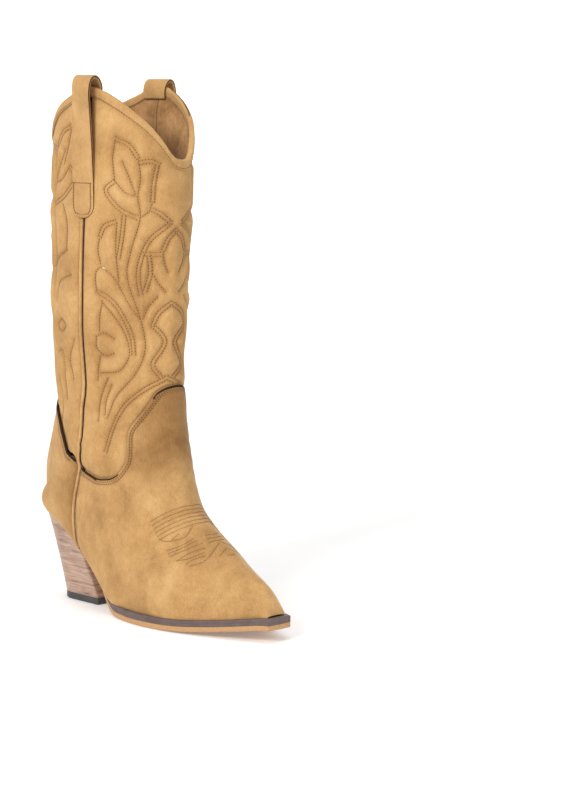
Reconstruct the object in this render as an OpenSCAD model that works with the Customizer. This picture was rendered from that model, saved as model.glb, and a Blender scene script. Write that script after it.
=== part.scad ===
// Western boot for the right foot: quilted suede shaft and plain suede foot on a stacked heel.
// Frame: toe towards -Y, outer side of the foot towards -X, +Z up, floor at z = 0.
// The upper is one smooth skin, lofted through section loops. Each piece of the upper is a
// patch of that skin with its own depth, so neighbouring pieces follow each other.

/* [Boot] */
// Height of the side peaks of the top line above the floor
shaft_top = 410; // [395:1:425]
// Length of the upper from heel to toe tip
foot_len = 262; // [250:1:275]
// Turn of the shaft towards the inner side, in degrees
shaft_turn = 8; // [0:1:9]
// Lean of the shaft's top towards the inner side
shaft_lean = 3; // [0:0.5:5]

/* [Upper] */
// Thickness of the suede
suede_t = 1.3; // [1:0.1:1.6]
// Thickness of the padding behind the quilted panels
foam_t = 3; // [2:0.5:3.5]
// Thickness of the linings
lining_t = 0.9; // [0.7:0.1:1]
// Diameter of the piping in the side seams
piping_d = 2.5; // [2:0.1:2.8]
// Depth of the rolled edge round the top line
binding_h = 6; // [5:0.5:8]

/* [Pull straps] */
// Width of a pull strap
strap_w = 22; // [18:1:24]
// Thickness of a pull strap, two layers of suede
strap_t = 2.8; // [2.4:0.1:3]

/* [Sole and heel] */
// Thickness of the dark welt
welt_t = 5; // [4:0.5:6]
// Thickness of the tan outsole
outsole_t = 4.2; // [3:0.1:4.2]
// How far the squared toe of the sole reaches past the upper
toe_margin = 5; // [3:0.5:6]
// Half width of the heel at the floor
heel_half_w = 19; // [17:0.5:20]
// Thickness of the black top lift
lift_t = 5.5; // [4:0.5:6]
// Thickness of the stacked-wood cover of the heel
wrap_t = 1.2; // [0.8:0.1:1.5]

/* [Hidden] */

suede = "#c79d63";
suede_dark = "#a97f4b";
microfibre = "#8f6a45";
foam_white = "#e8e0cf";
board_brown = "#b89a72";
welt_brown = "#5d4c47";
sole_tan = "#d99a62";
wood_brown = "#9b7765";
lift_black = "#2b2828";
steel = "#9aa0a6";

// Where the row's origin lies: distance forward of the heel, and outward of the foot's axis
origin_s = 133.8;
origin_a = -3.5;
// Sizes at which the section table below holds
nominal_top = 410;
nominal_len = 262;
ks = foot_len / nominal_len;
kz = shaft_top / nominal_top;
// Clear space between neighbouring layers
gap = 0.1;

// ---------- the skin of the upper ----------

// Section loops from the toe tip to above the top line. Each row: front point [forward, up],
// back or sole-edge point [forward, up], half width at the sole edge, greatest half width,
// how high up the loop that width lies, roundness of the front, sideways shift
SECTIONS = [
  [262.3, 19.4, 262.3, 18.5, 7.5, 7.5, 0.20, 1.8, 0],
  [260.5, 24, 260.5, 18.3, 8.6, 8.8, 0.20, 1.8, 0],
  [257.5, 29, 257, 18, 10, 10.5, 0.18, 1.7, 0],
  [251, 37, 249, 16.8, 13.5, 14.2, 0.16, 1.6, 0],
  [241, 43.5, 238, 15.3, 19, 20, 0.15, 1.55, 0],
  [222, 53.5, 216, 12.6, 27.5, 28.7, 0.16, 1.55, 0],
  [200, 65.5, 190, 10.2, 35.5, 37, 0.18, 1.6, 0],
  [180, 78.5, 162, 9.4, 38.5, 40.3, 0.22, 1.65, 0],
  [164, 95, 134, 9.4, 36, 38.2, 0.28, 1.75, 0.5],
  [156, 116, 110, 12.5, 32.8, 37, 0.34, 1.85, 1],
  [150, 138.5, 84, 35, 30, 36.5, 0.38, 1.95, 1],
  [146, 158.5, 52, 60, 29.5, 36.7, 0.42, 2, 0.5],
  [144, 176, 24, 71.5, 26, 36.5, 0.45, 2, 0],
  [144, 187, 8.5, 76.2, 16.5, 35.7, 0.46, 2, 0],
  [144.3, 195, 3, 78.5, 2, 34.5, 0.48, 2, 0],
  [145, 212, 3, 102, 0, 32.8, 0.48, 2, 0],
  [145.3, 226, 12.5, 128, 0, 33.5, 0.5, 2, 0],
  [145.3, 241, 20, 156, 0, 35.3, 0.5, 2, 0],
  [145.5, 270, 19.5, 215, 0, 39.2, 0.5, 2, 0],
  [147, 320, 19.5, 300, 0, 42, 0.5, 2, 0],
  [148, 370, 22, 365, 0, 42.2, 0.5, 2, 0],
  [148, 432, 24.5, 432, 0, 41.6, 0.5, 2, 0]];
LAST = len(SECTIONS) - 1;
// The loop where the sole edge closes behind the heel, and where it reaches the heel's breast
HEEL_REAR = 14;
BREAST = 10.45;
// Height and depth over which the shaft turns and leans, and the upright line it turns about
TURN_FROM = 90;
TURN_TO = 260;
TURN_AT = 80;
LEAN_FROM = 82;

// The side seams, as [loop, angle from the front]; the seam runs on down to the sole edge
SIDE_SEAM = [[0, 93], [11.8, 93], [13, 86], [14.5, 87], [16, 94], [17.5, 97], [18.1, 95],
  [19, 92], [20, 88], [22, 86]];
// Upper edge of the vamp and, past 93 degrees, its rear edge, as [angle, loop]
VAMP_EDGE = [[0, 12.42], [16, 12.45], [22, 12.42], [30, 12.03], [37, 11.71], [49, 11.45],
  [51.5, 11.2], [53, 10.75], [58, 10.5], [64, 10.47], [71, 10.55], [77, 10.7], [83, 10.93],
  [93, 11.8], [101, 11.51], [116, 11.18], [130, 10.93], [145, 10.72], [180, 10.45]];
// Upper edge of the heel counter, as [angle, loop]
COUNTER_EDGE = [[93, 11.8], [98, 13.5], [107, 14.75], [121, 15.75], [137, 16.6], [160, 17.05],
  [180, 17.2]];
// The scalloped top line, as [angle from the front, height]
TOP_LINE = [[0, 353], [8, 354], [15, 358], [22, 365.5], [32, 375.5], [40, 382.5], [49, 389],
  [60, 396.5], [73, 404], [82, 408], [92, 409.5], [107, 402], [122, 395], [139, 383],
  [160, 371], [180, 367]];
// Angles of the columns of a patch in front of the side seams and behind them
FRONT_FINE = [0, 8, 16, 22, 30, 37, 43, 49, 51.5, 53, 58, 64, 71, 77, 83, 93];
FRONT_COARSE = [0, 16, 30, 43, 51.5, 58, 71, 83, 93];
REAR_FINE = [93, 101, 116, 130, 145, 162, 180];
REAR_COARSE = [93, 116, 145, 180];
// How far shaft panels reach under the vamp and the counter, in loops
LAP = 0.5;
// Half the width of the slot for the piping: in degrees on the shaft, and on the foot in loops
// by angle
SLOT_DEG = 1.25;
SLOT_LOOPS = [[92, 0], [93, 0.1], [180, 0.05]];

function cubic(a, b, c, d, u) =
  0.5 * (2 * b + (c - a) * u + (2 * a - 5 * b + 4 * c - d) * u * u
  + (3 * b - a - 3 * c + d) * u * u * u);

function section(t) =
  let (i = max(0, min(floor(t), LAST - 1)), b = SECTIONS[i], c = SECTIONS[i + 1])
  let (a = i > 0 ? SECTIONS[i - 1] : 2 * b - c, d = i + 2 <= LAST ? SECTIONS[i + 2] : 2 * c - b)
  cubic(a, b, c, d, t - i);

function ease(x) = let (k = max(0, min(1, x))) k * k * (3 - 2 * k);

// Boot coordinates [forward, outward, up] to the row frame
function to_row(p) = [origin_a - p[1], origin_s * ks - p[0], p[2]];

function turned(s, a, z) =
  let (r = shaft_turn * ease((z - TURN_FROM) / (TURN_TO - TURN_FROM)))
  let (lean = shaft_lean * max(0, min(1.2, (z - LEAN_FROM) / (nominal_top - LEAN_FROM))))
  [ks * (TURN_AT + (s - TURN_AT) * cos(r) + a * sin(r)),
   a * cos(r) - (s - TURN_AT) * sin(r) - lean, kz * z];

// A point of the section loop g at angle h: 0 is the front, 180 the back or the sole edge
function loop_point(g, h) =
  let (c = abs(cos(h)), w = abs(sin(h)), top = abs(h) <= 90)
  let (v = top ? g[6] + (1 - g[6]) * pow(c, 2 / g[7]) : g[6] * (1 - c))
  let (edge = max(0, g[4]))
  let (half = top ? g[5] * pow(w, 2 / g[7]) : edge + (g[5] - edge) * w)
  turned(g[2] + v * (g[0] - g[2]), g[8] + half * sign(h), g[3] + v * (g[1] - g[3]));

// The loop carries on past 180 degrees: round the back, or straight on past the sole edge
function on_loop(g, h) =
  abs(h) <= 180 ? loop_point(g, h)
  : g[4] < 0.5 ? loop_point(g, h - 360 * sign(h))
  : 2 * loop_point(g, 180 * sign(h)) - loop_point(g, 360 * sign(h) - h);

// A point of the skin, moved outward by d along the skin's normal
function skin(t, h, d) =
  let (e = 0.04, at = max(0.5, t), lo = section(at - e), mid = section(at), hi = section(at + e))
  let (n = cross(on_loop(mid, h + 1.5) - on_loop(mid, h - 1.5), on_loop(hi, h) - on_loop(lo, h)))
  on_loop(section(t), h) + n * (d / norm(n));

// The loop on which the skin reaches height z at angle h, by halving the interval
function loop_at(z, h, lo = 10, hi = LAST, left = 14) =
  left == 0 ? (lo + hi) / 2
  : let (m = (lo + hi) / 2) on_loop(section(m), h)[2] < kz * z
    ? loop_at(z, h, m, hi, left - 1) : loop_at(z, h, lo, m, left - 1);

function seam_angle(t) = lookup(t, SIDE_SEAM);
function vamp_edge(h) = lookup(abs(h), VAMP_EDGE);
function counter_edge(h) = lookup(abs(h), COUNTER_EDGE);
function top_line(h) = lookup(abs(h), TOP_LINE);
function blend(a, b, u) = a + (b - a) * u;
function mirrored(list) = concat([for (i = [len(list) - 1:-1:1]) -list[i]], list);

// ---------- patches of the skin ----------

// A closed sheet between two grids of points that face each other
module sheet(outer, inner, ring = false) {
  n = len(outer);
  m = len(outer[0]);
  last = ring ? m - 1 : m - 2;
  points = [for (r = outer) for (p = r) to_row(p), for (r = inner) for (p = r) to_row(p)];
  function at(i, j) = i * m + j % m;
  function under(i, j) = n * m + at(i, j);
  function quad(a, b, c, d) = [[a, b, c], [a, c, d]];
  faces = [
    for (i = [0:n - 2]) for (j = [0:last]) each concat(
      quad(at(i, j), at(i, j + 1), at(i + 1, j + 1), at(i + 1, j)),
      quad(under(i, j), under(i + 1, j), under(i + 1, j + 1), under(i, j + 1))),
    for (j = [0:last]) each concat(
      quad(at(0, j + 1), at(0, j), under(0, j), under(0, j + 1)),
      quad(at(n - 1, j), at(n - 1, j + 1), under(n - 1, j + 1), under(n - 1, j))),
    if (!ring) for (i = [0:n - 2]) each concat(
      quad(at(i, 0), at(i + 1, 0), under(i + 1, 0), under(i, 0)),
      quad(at(i + 1, m - 1), at(i, m - 1), under(i, m - 1), under(i + 1, m - 1)))];
  polyhedron(points, faces, convexity = 8);
}

// A tube whose rings are closed loops of points, closed by its two end faces or on itself
module tube(rings, endless = false) {
  n = len(rings);
  m = len(rings[0]);
  points = [for (r = rings) for (p = r) to_row(p)];
  function at(i, j) = (i % n) * m + j % m;
  faces = [
    for (i = [0:endless ? n - 1 : n - 2]) for (j = [0:m - 1])
      each [[at(i, j), at(i + 1, j + 1), at(i, j + 1)], [at(i, j), at(i + 1, j), at(i + 1, j + 1)]],
    if (!endless) each [[for (j = [0:m - 1]) at(0, j)], [for (j = [m - 1:-1:0]) at(n - 1, j)]]];
  polyhedron(points, faces, convexity = 8);
}

// How far a patch keeps clear of the side seam's line on the foot, as a share of the slot
function slot_loops(h, share) = share * lookup(abs(h), SLOT_LOOPS);

// The whole foot in front of the side seams, from loop t0 to the vamp's edge. Its upper edge
// ends a margin short, and its rear edge clears the slot of the side seam
module foot_patch(angles, rows, t0, margin, share, d_out, d_in) {
  function end(h) = vamp_edge(h) - (abs(h) < 92 ? margin : slot_loops(h, share));
  function grid(d) = [for (i = [0:rows]) [for (h = angles)
    skin(blend(t0, end(h), i / rows), h, d)]];
  sheet(grid(d_out), grid(d_in));
}

// The heel behind the side seams. A column runs from the sole edge up to the counter's edge,
// less a margin; the outermost columns follow the side seams
module heel_patch(columns, rows, margin, share, d_out, d_in) {
  us = mirrored([for (i = [0:columns]) i / columns]);
  function spot(u, v) =
    let (k = abs(u), h1 = blend(180, 93, k), h = blend(180, h1, v))
    let (t1 = counter_edge(h1) - margin * min(1, 4 * (1 - k)), t0 = blend(HEEL_REAR, BREAST, k))
    let (side = blend(180, 93, v), bend = vamp_edge(side) - blend(BREAST, 11.8, v) + slot_loops(side, share))
    [blend(t0, t1, v) + k * k * bend, (u < 0 ? 1 : -1) * h];
  function grid(d) = [for (i = [0:rows]) [for (u = us)
    let (q = spot(u, i / rows)) skin(q[0], q[1], d)]];
  sheet(grid(d_out), grid(d_in));
}

// The front of the shaft, from a lap under the vamp up to a little below the top line
module shaft_front(angles, rows, lap, top_drop, d_out, d_in, slot) {
  function row_t(h, v) = blend(vamp_edge(h) - lap, loop_at(top_line(h) - top_drop, h), v);
  function grid(d) = [for (i = [0:rows]) [for (h = angles)
    let (t = row_t(h, i / rows)) skin(t, h / 93 * (seam_angle(t) - slot), d)]];
  sheet(grid(d_out), grid(d_in));
}

// The back of the shaft, from one side seam round the back to the other
module shaft_back(columns, rows, lap, top_drop, d_out, d_in, slot) {
  us = mirrored([for (i = [0:columns]) i / columns]);
  function angle(u, t) = 180 - abs(u) * (180 - seam_angle(t) - slot);
  function row_t(u, v) =
    let (h = 180 - abs(u) * 87)
    blend(counter_edge(h) - lap, loop_at(top_line(h) - top_drop, h), v);
  function grid(d) = [for (i = [0:rows]) [for (u = us)
    let (t = row_t(u, i / rows)) skin(t, (u < 0 ? 1 : -1) * angle(u, t), d)]];
  sheet(grid(d_out), grid(d_in));
}

module shaft_front_panel() {
  color(suede) shaft_front(mirrored(FRONT_FINE), 13, LAP, 1.5, -gap / 2, -suede_t, SLOT_DEG);
}

module shaft_back_panel() {
  color(suede) shaft_back(9, 13, LAP, 1.5, -gap / 2, -suede_t, SLOT_DEG);
}

foam_top = -suede_t - gap;
foam_low = foam_top - foam_t;
shaft_lining_top = foam_low - gap;
shaft_lining_low = shaft_lining_top - lining_t;

module shaft_front_foam() {
  color(foam_white) shaft_front(mirrored(FRONT_COARSE), 8, -0.1, 8, foam_top, foam_low, 0.6);
}

module shaft_back_foam() {
  color(foam_white) shaft_back(6, 8, -0.1, 8, foam_top, foam_low, 0.6);
}

module shaft_front_lining() {
  color(microfibre)
    shaft_front(mirrored(FRONT_COARSE), 8, -0.1, 1.5, shaft_lining_top, shaft_lining_low, 0.3);
}

module shaft_back_lining() {
  color(microfibre) shaft_back(6, 8, -0.1, 1.5, shaft_lining_top, shaft_lining_low, 0.3);
}

foot_top = suede_t + gap;
backing_low = -suede_t + gap;
lining_top = -suede_t;
lining_low = lining_top - lining_t;
// How far below the shaft panels' laps the pieces under the vamp and the counter end, in loops
UNDER_LAP = 0.62;

module vamp() {
  color(suede) foot_patch(mirrored(concat(FRONT_FINE, [for (i = [1:6]) REAR_FINE[i]])), 20,
    0.02, 0, 1, foot_top, gap / 2);
}

module vamp_backer() {
  color(foam_white) foot_patch(mirrored(concat(FRONT_COARSE, [for (i = [1:3]) REAR_COARSE[i]])),
    7, 4.6, UNDER_LAP, 1, -gap / 2, backing_low);
}

module vamp_lining() {
  color(microfibre) foot_patch(mirrored(concat(FRONT_COARSE, [for (i = [1:3]) REAR_COARSE[i]])),
    12, 0.6, UNDER_LAP, 0.1, lining_top, lining_low);
}

module toe_puff() {
  angles = mirrored([0, 16, 30, 43, 58, 71, 83, 93, 116, 145, 180]);
  function grid(d) = [for (i = [0:5]) [for (h = angles) skin(blend(0.6, 4.5, i / 5), h, d)]];
  color(board_brown) sheet(grid(-gap / 2), grid(backing_low));
}

module heel_counter() {
  color(suede) heel_patch(12, 8, 0, 1, foot_top, gap / 2);
}

module counter_stiffener() {
  color(board_brown) heel_patch(8, 4, UNDER_LAP, 1, -gap / 2, backing_low);
}

module counter_lining() {
  color(microfibre) heel_patch(8, 4, UNDER_LAP, 0.1, lining_top, lining_low);
}

// The rolled edge: a folded strip astride the top line, swept round it
module top_binding() {
  step = 7.5;
  thick = 1.1;
  in_d = shaft_lining_low - gap;
  profile = [[-binding_h, gap], [-binding_h, gap + thick], [0.3, gap + thick],
    [thick + 0.3, gap - 1], [thick + 0.3, in_d + 1], [0.3, in_d - thick],
    [-binding_h, in_d - thick], [-binding_h, in_d], [-1, in_d], [-1, gap]];
  rings = [for (h = [-180:step:180 - step]) [for (q = profile)
    skin(loop_at(top_line(h) + q[0], h), h, q[1])]];
  color(suede) tube(rings, true);
}

// The piping's route, from the pull strap's tip down the side seam to the sole edge
function piping_spots(side) = concat(
  [for (i = [0:13]) let (t = blend(loop_at(STRAP_ROUTE[0][0] - 1.5, STRAP_ANGLE), 11.8, i / 13))
    [t, side * seam_angle(t)]],
  [for (h = [97, 101, 108, 116, 130, 145, 162, 174]) [vamp_edge(h), side * h]]);

module piping(side) {
  sides = 6;
  spots = piping_spots(side);
  lift = [for (q = spots) skin(q[0], q[1], q[0] > 11.8 ? 0.1 : 0.8)];
  n = len(lift);
  rings = [for (i = [0:n - 1])
    let (along = lift[min(n - 1, i + 1)] - lift[max(0, i - 1)], t = along / norm(along))
    let (out = skin(spots[i][0], spots[i][1], 1) - skin(spots[i][0], spots[i][1], 0))
    let (b = cross(t, out), u = b / norm(b), v = cross(u, t))
    [for (k = [0:sides - 1]) lift[i]
      + piping_d / 2 * (cos(k * 360 / sides) * u + sin(k * 360 / sides) * v)]];
  color(suede_dark) tube(rings);
}

module side_piping_lateral() {
  piping(1);
}

module side_piping_medial() {
  piping(-1);
}

// A pull strap's route over the side peak, as [height, distance out from the skin, half width]
STRAP_ROUTE = [[310, 2.2, 0.18], [313, 2.2, 0.6], [318, 2.3, 0.88], [325, 2.4, 1],
  [335, 2.7, 1], [350, 3.6, 1], [370, 5, 1], [390, 6.2, 1], [403, 7, 1], [411, 6.6, 1],
  [416.5, 4.2, 1], [418.8, 0.2, 1], [418.2, -4.2, 1], [414.4, -8, 1], [407.5, -9.8, 1],
  [400, -9.4, 1], [394, -8.9, 1]];
STRAP_ANGLE = 90;

module pull_strap(side) {
  n = len(STRAP_ROUTE);
  mid = [for (q = STRAP_ROUTE) skin(loop_at(q[0], STRAP_ANGLE), side * STRAP_ANGLE, q[1])];
  across = let (v = skin(19, side * (STRAP_ANGLE - 5), 0) - skin(19, side * (STRAP_ANGLE + 5), 0))
    [v[0], v[1], 0] / norm([v[0], v[1], 0]);
  function row(i, k) =
    let (v = mid[min(n - 1, i + 1)] - mid[max(0, i - 1)], b = cross(v / norm(v), across))
    let (half = strap_w / 2 * STRAP_ROUTE[i][2])
    [mid[i] - across * half + b * k, mid[i] + across * half + b * k];
  upper = [for (i = [0:n - 1]) row(i, strap_t / 2)];
  lower = [for (i = [0:n - 1]) row(i, -strap_t / 2)];
  color(suede) sheet(lower, upper);
}

module pull_strap_lateral() {
  pull_strap(1);
}

module pull_strap_medial() {
  pull_strap(-1);
}

// ---------- sole ----------

// The sole edge seen from above and from the side: height of the edge at forward distance s
EDGE = [for (t = [HEEL_REAR:-0.25:0]) let (g = section(t)) [g[2], g[3]]];
function edge_z(s) = lookup(s, EDGE);
function put(s, a, z) = [ks * s, a, kz * z];

// The sole edge at loop t, moved inward by e across the outline
function inset_edge(t, e) =
  let (g = section(t), q = section(max(0, t - 0.1)), r = section(min(HEEL_REAR, t + 0.1)))
  let (v = [q[2] - r[2], q[4] - r[4]], n = [v[1], -v[0]] / norm(v))
  [g[2] + n[0] * e, max(1.5, g[4] + n[1] * e), g[3], g[8]];

// A plate that follows the sole edge, inset by e, between heights lo and hi above the edge
module edge_plate(loops, e, lo, hi) {
  function grid(rise) = [for (t = loops) let (q = inset_edge(t, e), z = q[2] + rise)
    [put(q[0], q[3] - q[1], z), put(q[0], q[3] + q[1], z)]];
  sheet(grid(hi), grid(lo));
}

board_low = 0.2;
board_top = 2.2;
PLATE_LOOPS = [1, 2, 3, 4, 5, 6, 7, 8, 9, 9.5, 10, 10.5, 11, 11.5, 12, 12.5, 13, 13.5, 13.85];

// Five nails round the screw, where the heel is fastened: [forward, outward]
NAILS = [for (k = [0:4]) [33 + 13 * cos(72 * k), 10 * sin(72 * k)]];
SCREW = [33, 0];
nail_d = 2;
nail_l = 15;
nail_head_d = 4.4;
head_t = 0.8;
screw_d = 4;
screw_l = 24;
// Slope of the heel seat
seat_slope = atan((edge_z(12) - edge_z(52)) / 40);

// Stands children on the insole board over the heel seat, square to the seat
module on_seat(q) {
  translate(to_row(put(q[0], q[1], edge_z(q[0]) + board_top)))
    rotate([-seat_slope, 0, 0]) children();
}

module fastener(d, l, head) {
  translate([0, 0, -l]) cylinder(d = d, h = l + 0.1, $fn = 32);
  cylinder(d = head, h = head_t, $fn = 32);
}

// The holes for the fasteners, as wide as their shanks, through whatever they are cut from
module fastener_holes() {
  for (q = NAILS) on_seat(q) translate([0, 0, -nail_l]) cylinder(d = nail_d, h = 30, $fn = 32);
  on_seat(SCREW) translate([0, 0, -screw_l]) cylinder(d = screw_d, h = 40, $fn = 32);
}

module insole_board() {
  color(board_brown) difference() {
    edge_plate(PLATE_LOOPS, 2.6, board_low, board_top);
    fastener_holes();
  }
}

module heel_nails() {
  color(steel) for (q = NAILS) on_seat(q) fastener(nail_d, nail_l, nail_head_d);
}

module heel_screw() {
  color(steel) on_seat(SCREW) fastener(screw_d, screw_l, 8);
}

// The cover and the foam lie on the fasteners' heads
cover_low = board_top + 2;
pad_t = 2.6;
sock_t = 1.1;

module heel_pad() {
  color(foam_white) edge_plate([11.3, 11.7, 12, 12.4, 12.8, 13.1, 13.4, 13.6], 6, cover_low,
    cover_low + pad_t);
}

// The sock rises over the foam at the heel and lies on the board in front of it
module sock_lining() {
  function rise(t) = pad_t * ease((t - 10) / 1) + gap + cover_low;
  function grid(extra) = [for (t = PLATE_LOOPS) let (q = inset_edge(t, 3.4))
    let (z = q[2] + rise(t) + extra) [put(q[0], q[3] - q[1], z), put(q[0], q[3] + q[1], z)]];
  color(microfibre) sheet(grid(sock_t), grid(0));
}

// Outline of the sole from the heel's breast to the squared toe: [forward, half width]
SOLE_OUTLINE = [[65, 21.5], [80, 25], [95, 29.5], [108, 34], [122, 38.5], [138, 41.6],
  [155, 42.8], [172, 41.8], [190, 39], [206, 34.6], [222, 29.3], [238, 23], [252, 17]];
sole_tip = [nominal_len + toe_margin, 11.3];
outline_all = concat(SOLE_OUTLINE, [sole_tip]);

// Where the heel's breast stands at height z
function breast_s(z) = blend(heel_front_floor, heel_front_top,
  (z - lift_t) / (edge_z(heel_front_top) - lift_t)) + gap;

// A point of the sole a at the side and z above the sole edge; the first row meets the breast
function sole_point(s, a, z) =
  let (h = edge_z(s) + z) put(s == outline_all[0][0] ? breast_s(h) : s, a, h);

// A layer of the sole: a ring of the given width, or a full plate where width is 0
module sole_layer(lo, hi, width) {
  n = len(outline_all);
  route = concat([for (q = outline_all) [q[0], q[1], 1]],
    [for (i = [n - 1:-1:0]) [outline_all[i][0], outline_all[i][1], -1]]);
  function pair(q, z) = [sole_point(q[0], q[1] * q[2], z),
    sole_point(min(q[0], sole_tip[0] - width), (q[1] - width) * q[2], z)];
  function across(q, z) = [sole_point(q[0], -q[1], z), sole_point(q[0], q[1], z)];
  if (width > 0) sheet([for (q = route) pair(q, hi)], [for (q = route) pair(q, lo)]);
  else sheet([for (q = outline_all) across(q, lo)], [for (q = outline_all) across(q, hi)]);
}

welt_w = 9;

module welt() {
  color(welt_brown) sole_layer(-welt_t, 0, welt_w);
}

module outsole() {
  color(sole_tan) sole_layer(-welt_t - outsole_t, -welt_t, 0);
}

module bottom_filler() {
  rows = [for (q = outline_all) if (q[0] > 107 && q[0] < 260) [q[0], q[1] - welt_w - 0.3]];
  function across(q, z) = [put(q[0], -q[1], edge_z(q[0]) + z), put(q[0], q[1], edge_z(q[0]) + z)];
  color(board_brown) sheet([for (q = rows) across(q, 0.2 - welt_t)],
    [for (q = rows) across(q, -0.2)]);
}

// The spring steel under the arch, from the front of the heel to the ball
module shank() {
  half = 6;
  top = board_low - gap;
  thick = 2.2;
  rows = [for (s = [67:6.2:104.2]) s];
  function across(s, z) = [put(s, -half, edge_z(s) + z), put(s, half, edge_z(s) + z)];
  color(steel) sheet([for (s = rows) across(s, top - thick)], [for (s = rows) across(s, top)]);
}

// ---------- heel ----------

heel_rear_floor = 24;
heel_front_floor = 76;
heel_rear_top = 3.2;
heel_front_top = 61;
heel_half_top = 28.5;
heel_round_top = 32;
HEEL_Q = [0, 12, 24, 36, 48, 60, 75, 90];

// Half the outline of the heel, inset by e, as [forward, half width]: a round back, then a
// straight side up to the flat breast
function heel_half(rear, front, half, round_l, flare, e) = concat(
  [for (q = HEEL_Q) [rear + e + (round_l - e) * (1 - cos(q)), (half - e) * sin(q)]],
  [[blend(rear + round_l, front, 0.5), half - e + flare / 2], [front - e, half - e + flare]]);

function heel_floor(e) = heel_half(heel_rear_floor, heel_front_floor, heel_half_w,
  heel_half_w, 0, e);
function heel_seat(e) = heel_half(heel_rear_top, heel_front_top, heel_half_top,
  heel_round_top, 1, e);
seat_gap = 0.2;

// The two rims of the heel, on the top lift and under the seat, as points of one side
function rim_low(q, side) = put(q[0], side * q[1], lift_t);
function rim_high(q, side) = put(q[0], side * q[1], edge_z(q[0]) - seat_gap);

module heel_wrap() {
  function loop(e) = let (low = heel_floor(e), high = heel_seat(e), n = len(low) - 1)
    [[for (i = [n:-1:1]) rim_low(low[i], -1), for (q = low) rim_low(q, 1)],
     [for (i = [n:-1:1]) rim_high(high[i], -1), for (q = high) rim_high(q, 1)]];
  color(wood_brown) sheet(loop(wrap_t), loop(0), true);
}

module heel_core() {
  e = wrap_t + gap;
  low = heel_floor(e);
  high = heel_seat(e);
  n = len(low) - 1;
  color(board_brown) difference() {
    sheet([for (i = [1:n]) [rim_low(low[i], -1), rim_low(low[i], 1)]],
      [for (i = [1:n]) [rim_high(high[i], -1), rim_high(high[i], 1)]]);
    fastener_holes();
    top_lift_holes();
  }
}

// The top lift's pins: [forward, outward]
PINS = [[36, 0], [60, 11], [60, -11]];
pin_d = 3;
pin_from = 2;
pin_to = 14;

module top_lift_holes() {
  for (q = PINS) translate(to_row(put(q[0], q[1], pin_from)))
    cylinder(d = pin_d, h = pin_to - pin_from, $fn = 32);
}

module top_lift_pins() {
  color(steel) top_lift_holes();
}

module heel_top_lift() {
  mid = to_row(put(heel_rear_floor + heel_half_w, 0, 0));
  straight = heel_front_floor - heel_rear_floor - heel_half_w;
  color(lift_black) difference() {
    translate(mid) linear_extrude(lift_t) union() {
      circle(r = heel_half_w, $fn = 72);
      translate([-heel_half_w, -straight]) square([2 * heel_half_w, straight]);
    }
    top_lift_holes();
  }
}

shaft_front_panel();
shaft_back_panel();
shaft_front_foam();
shaft_back_foam();
shaft_front_lining();
shaft_back_lining();
vamp();
vamp_backer();
vamp_lining();
toe_puff();
heel_counter();
counter_stiffener();
counter_lining();
top_binding();
side_piping_lateral();
side_piping_medial();
pull_strap_lateral();
pull_strap_medial();
insole_board();
heel_pad();
sock_lining();
shank();
bottom_filler();
welt();
outsole();
heel_core();
heel_wrap();
heel_top_lift();
heel_nails();
heel_screw();
top_lift_pins();
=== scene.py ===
import bpy
import numpy as np
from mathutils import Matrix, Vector
from mathutils.kdtree import KDTree


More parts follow.
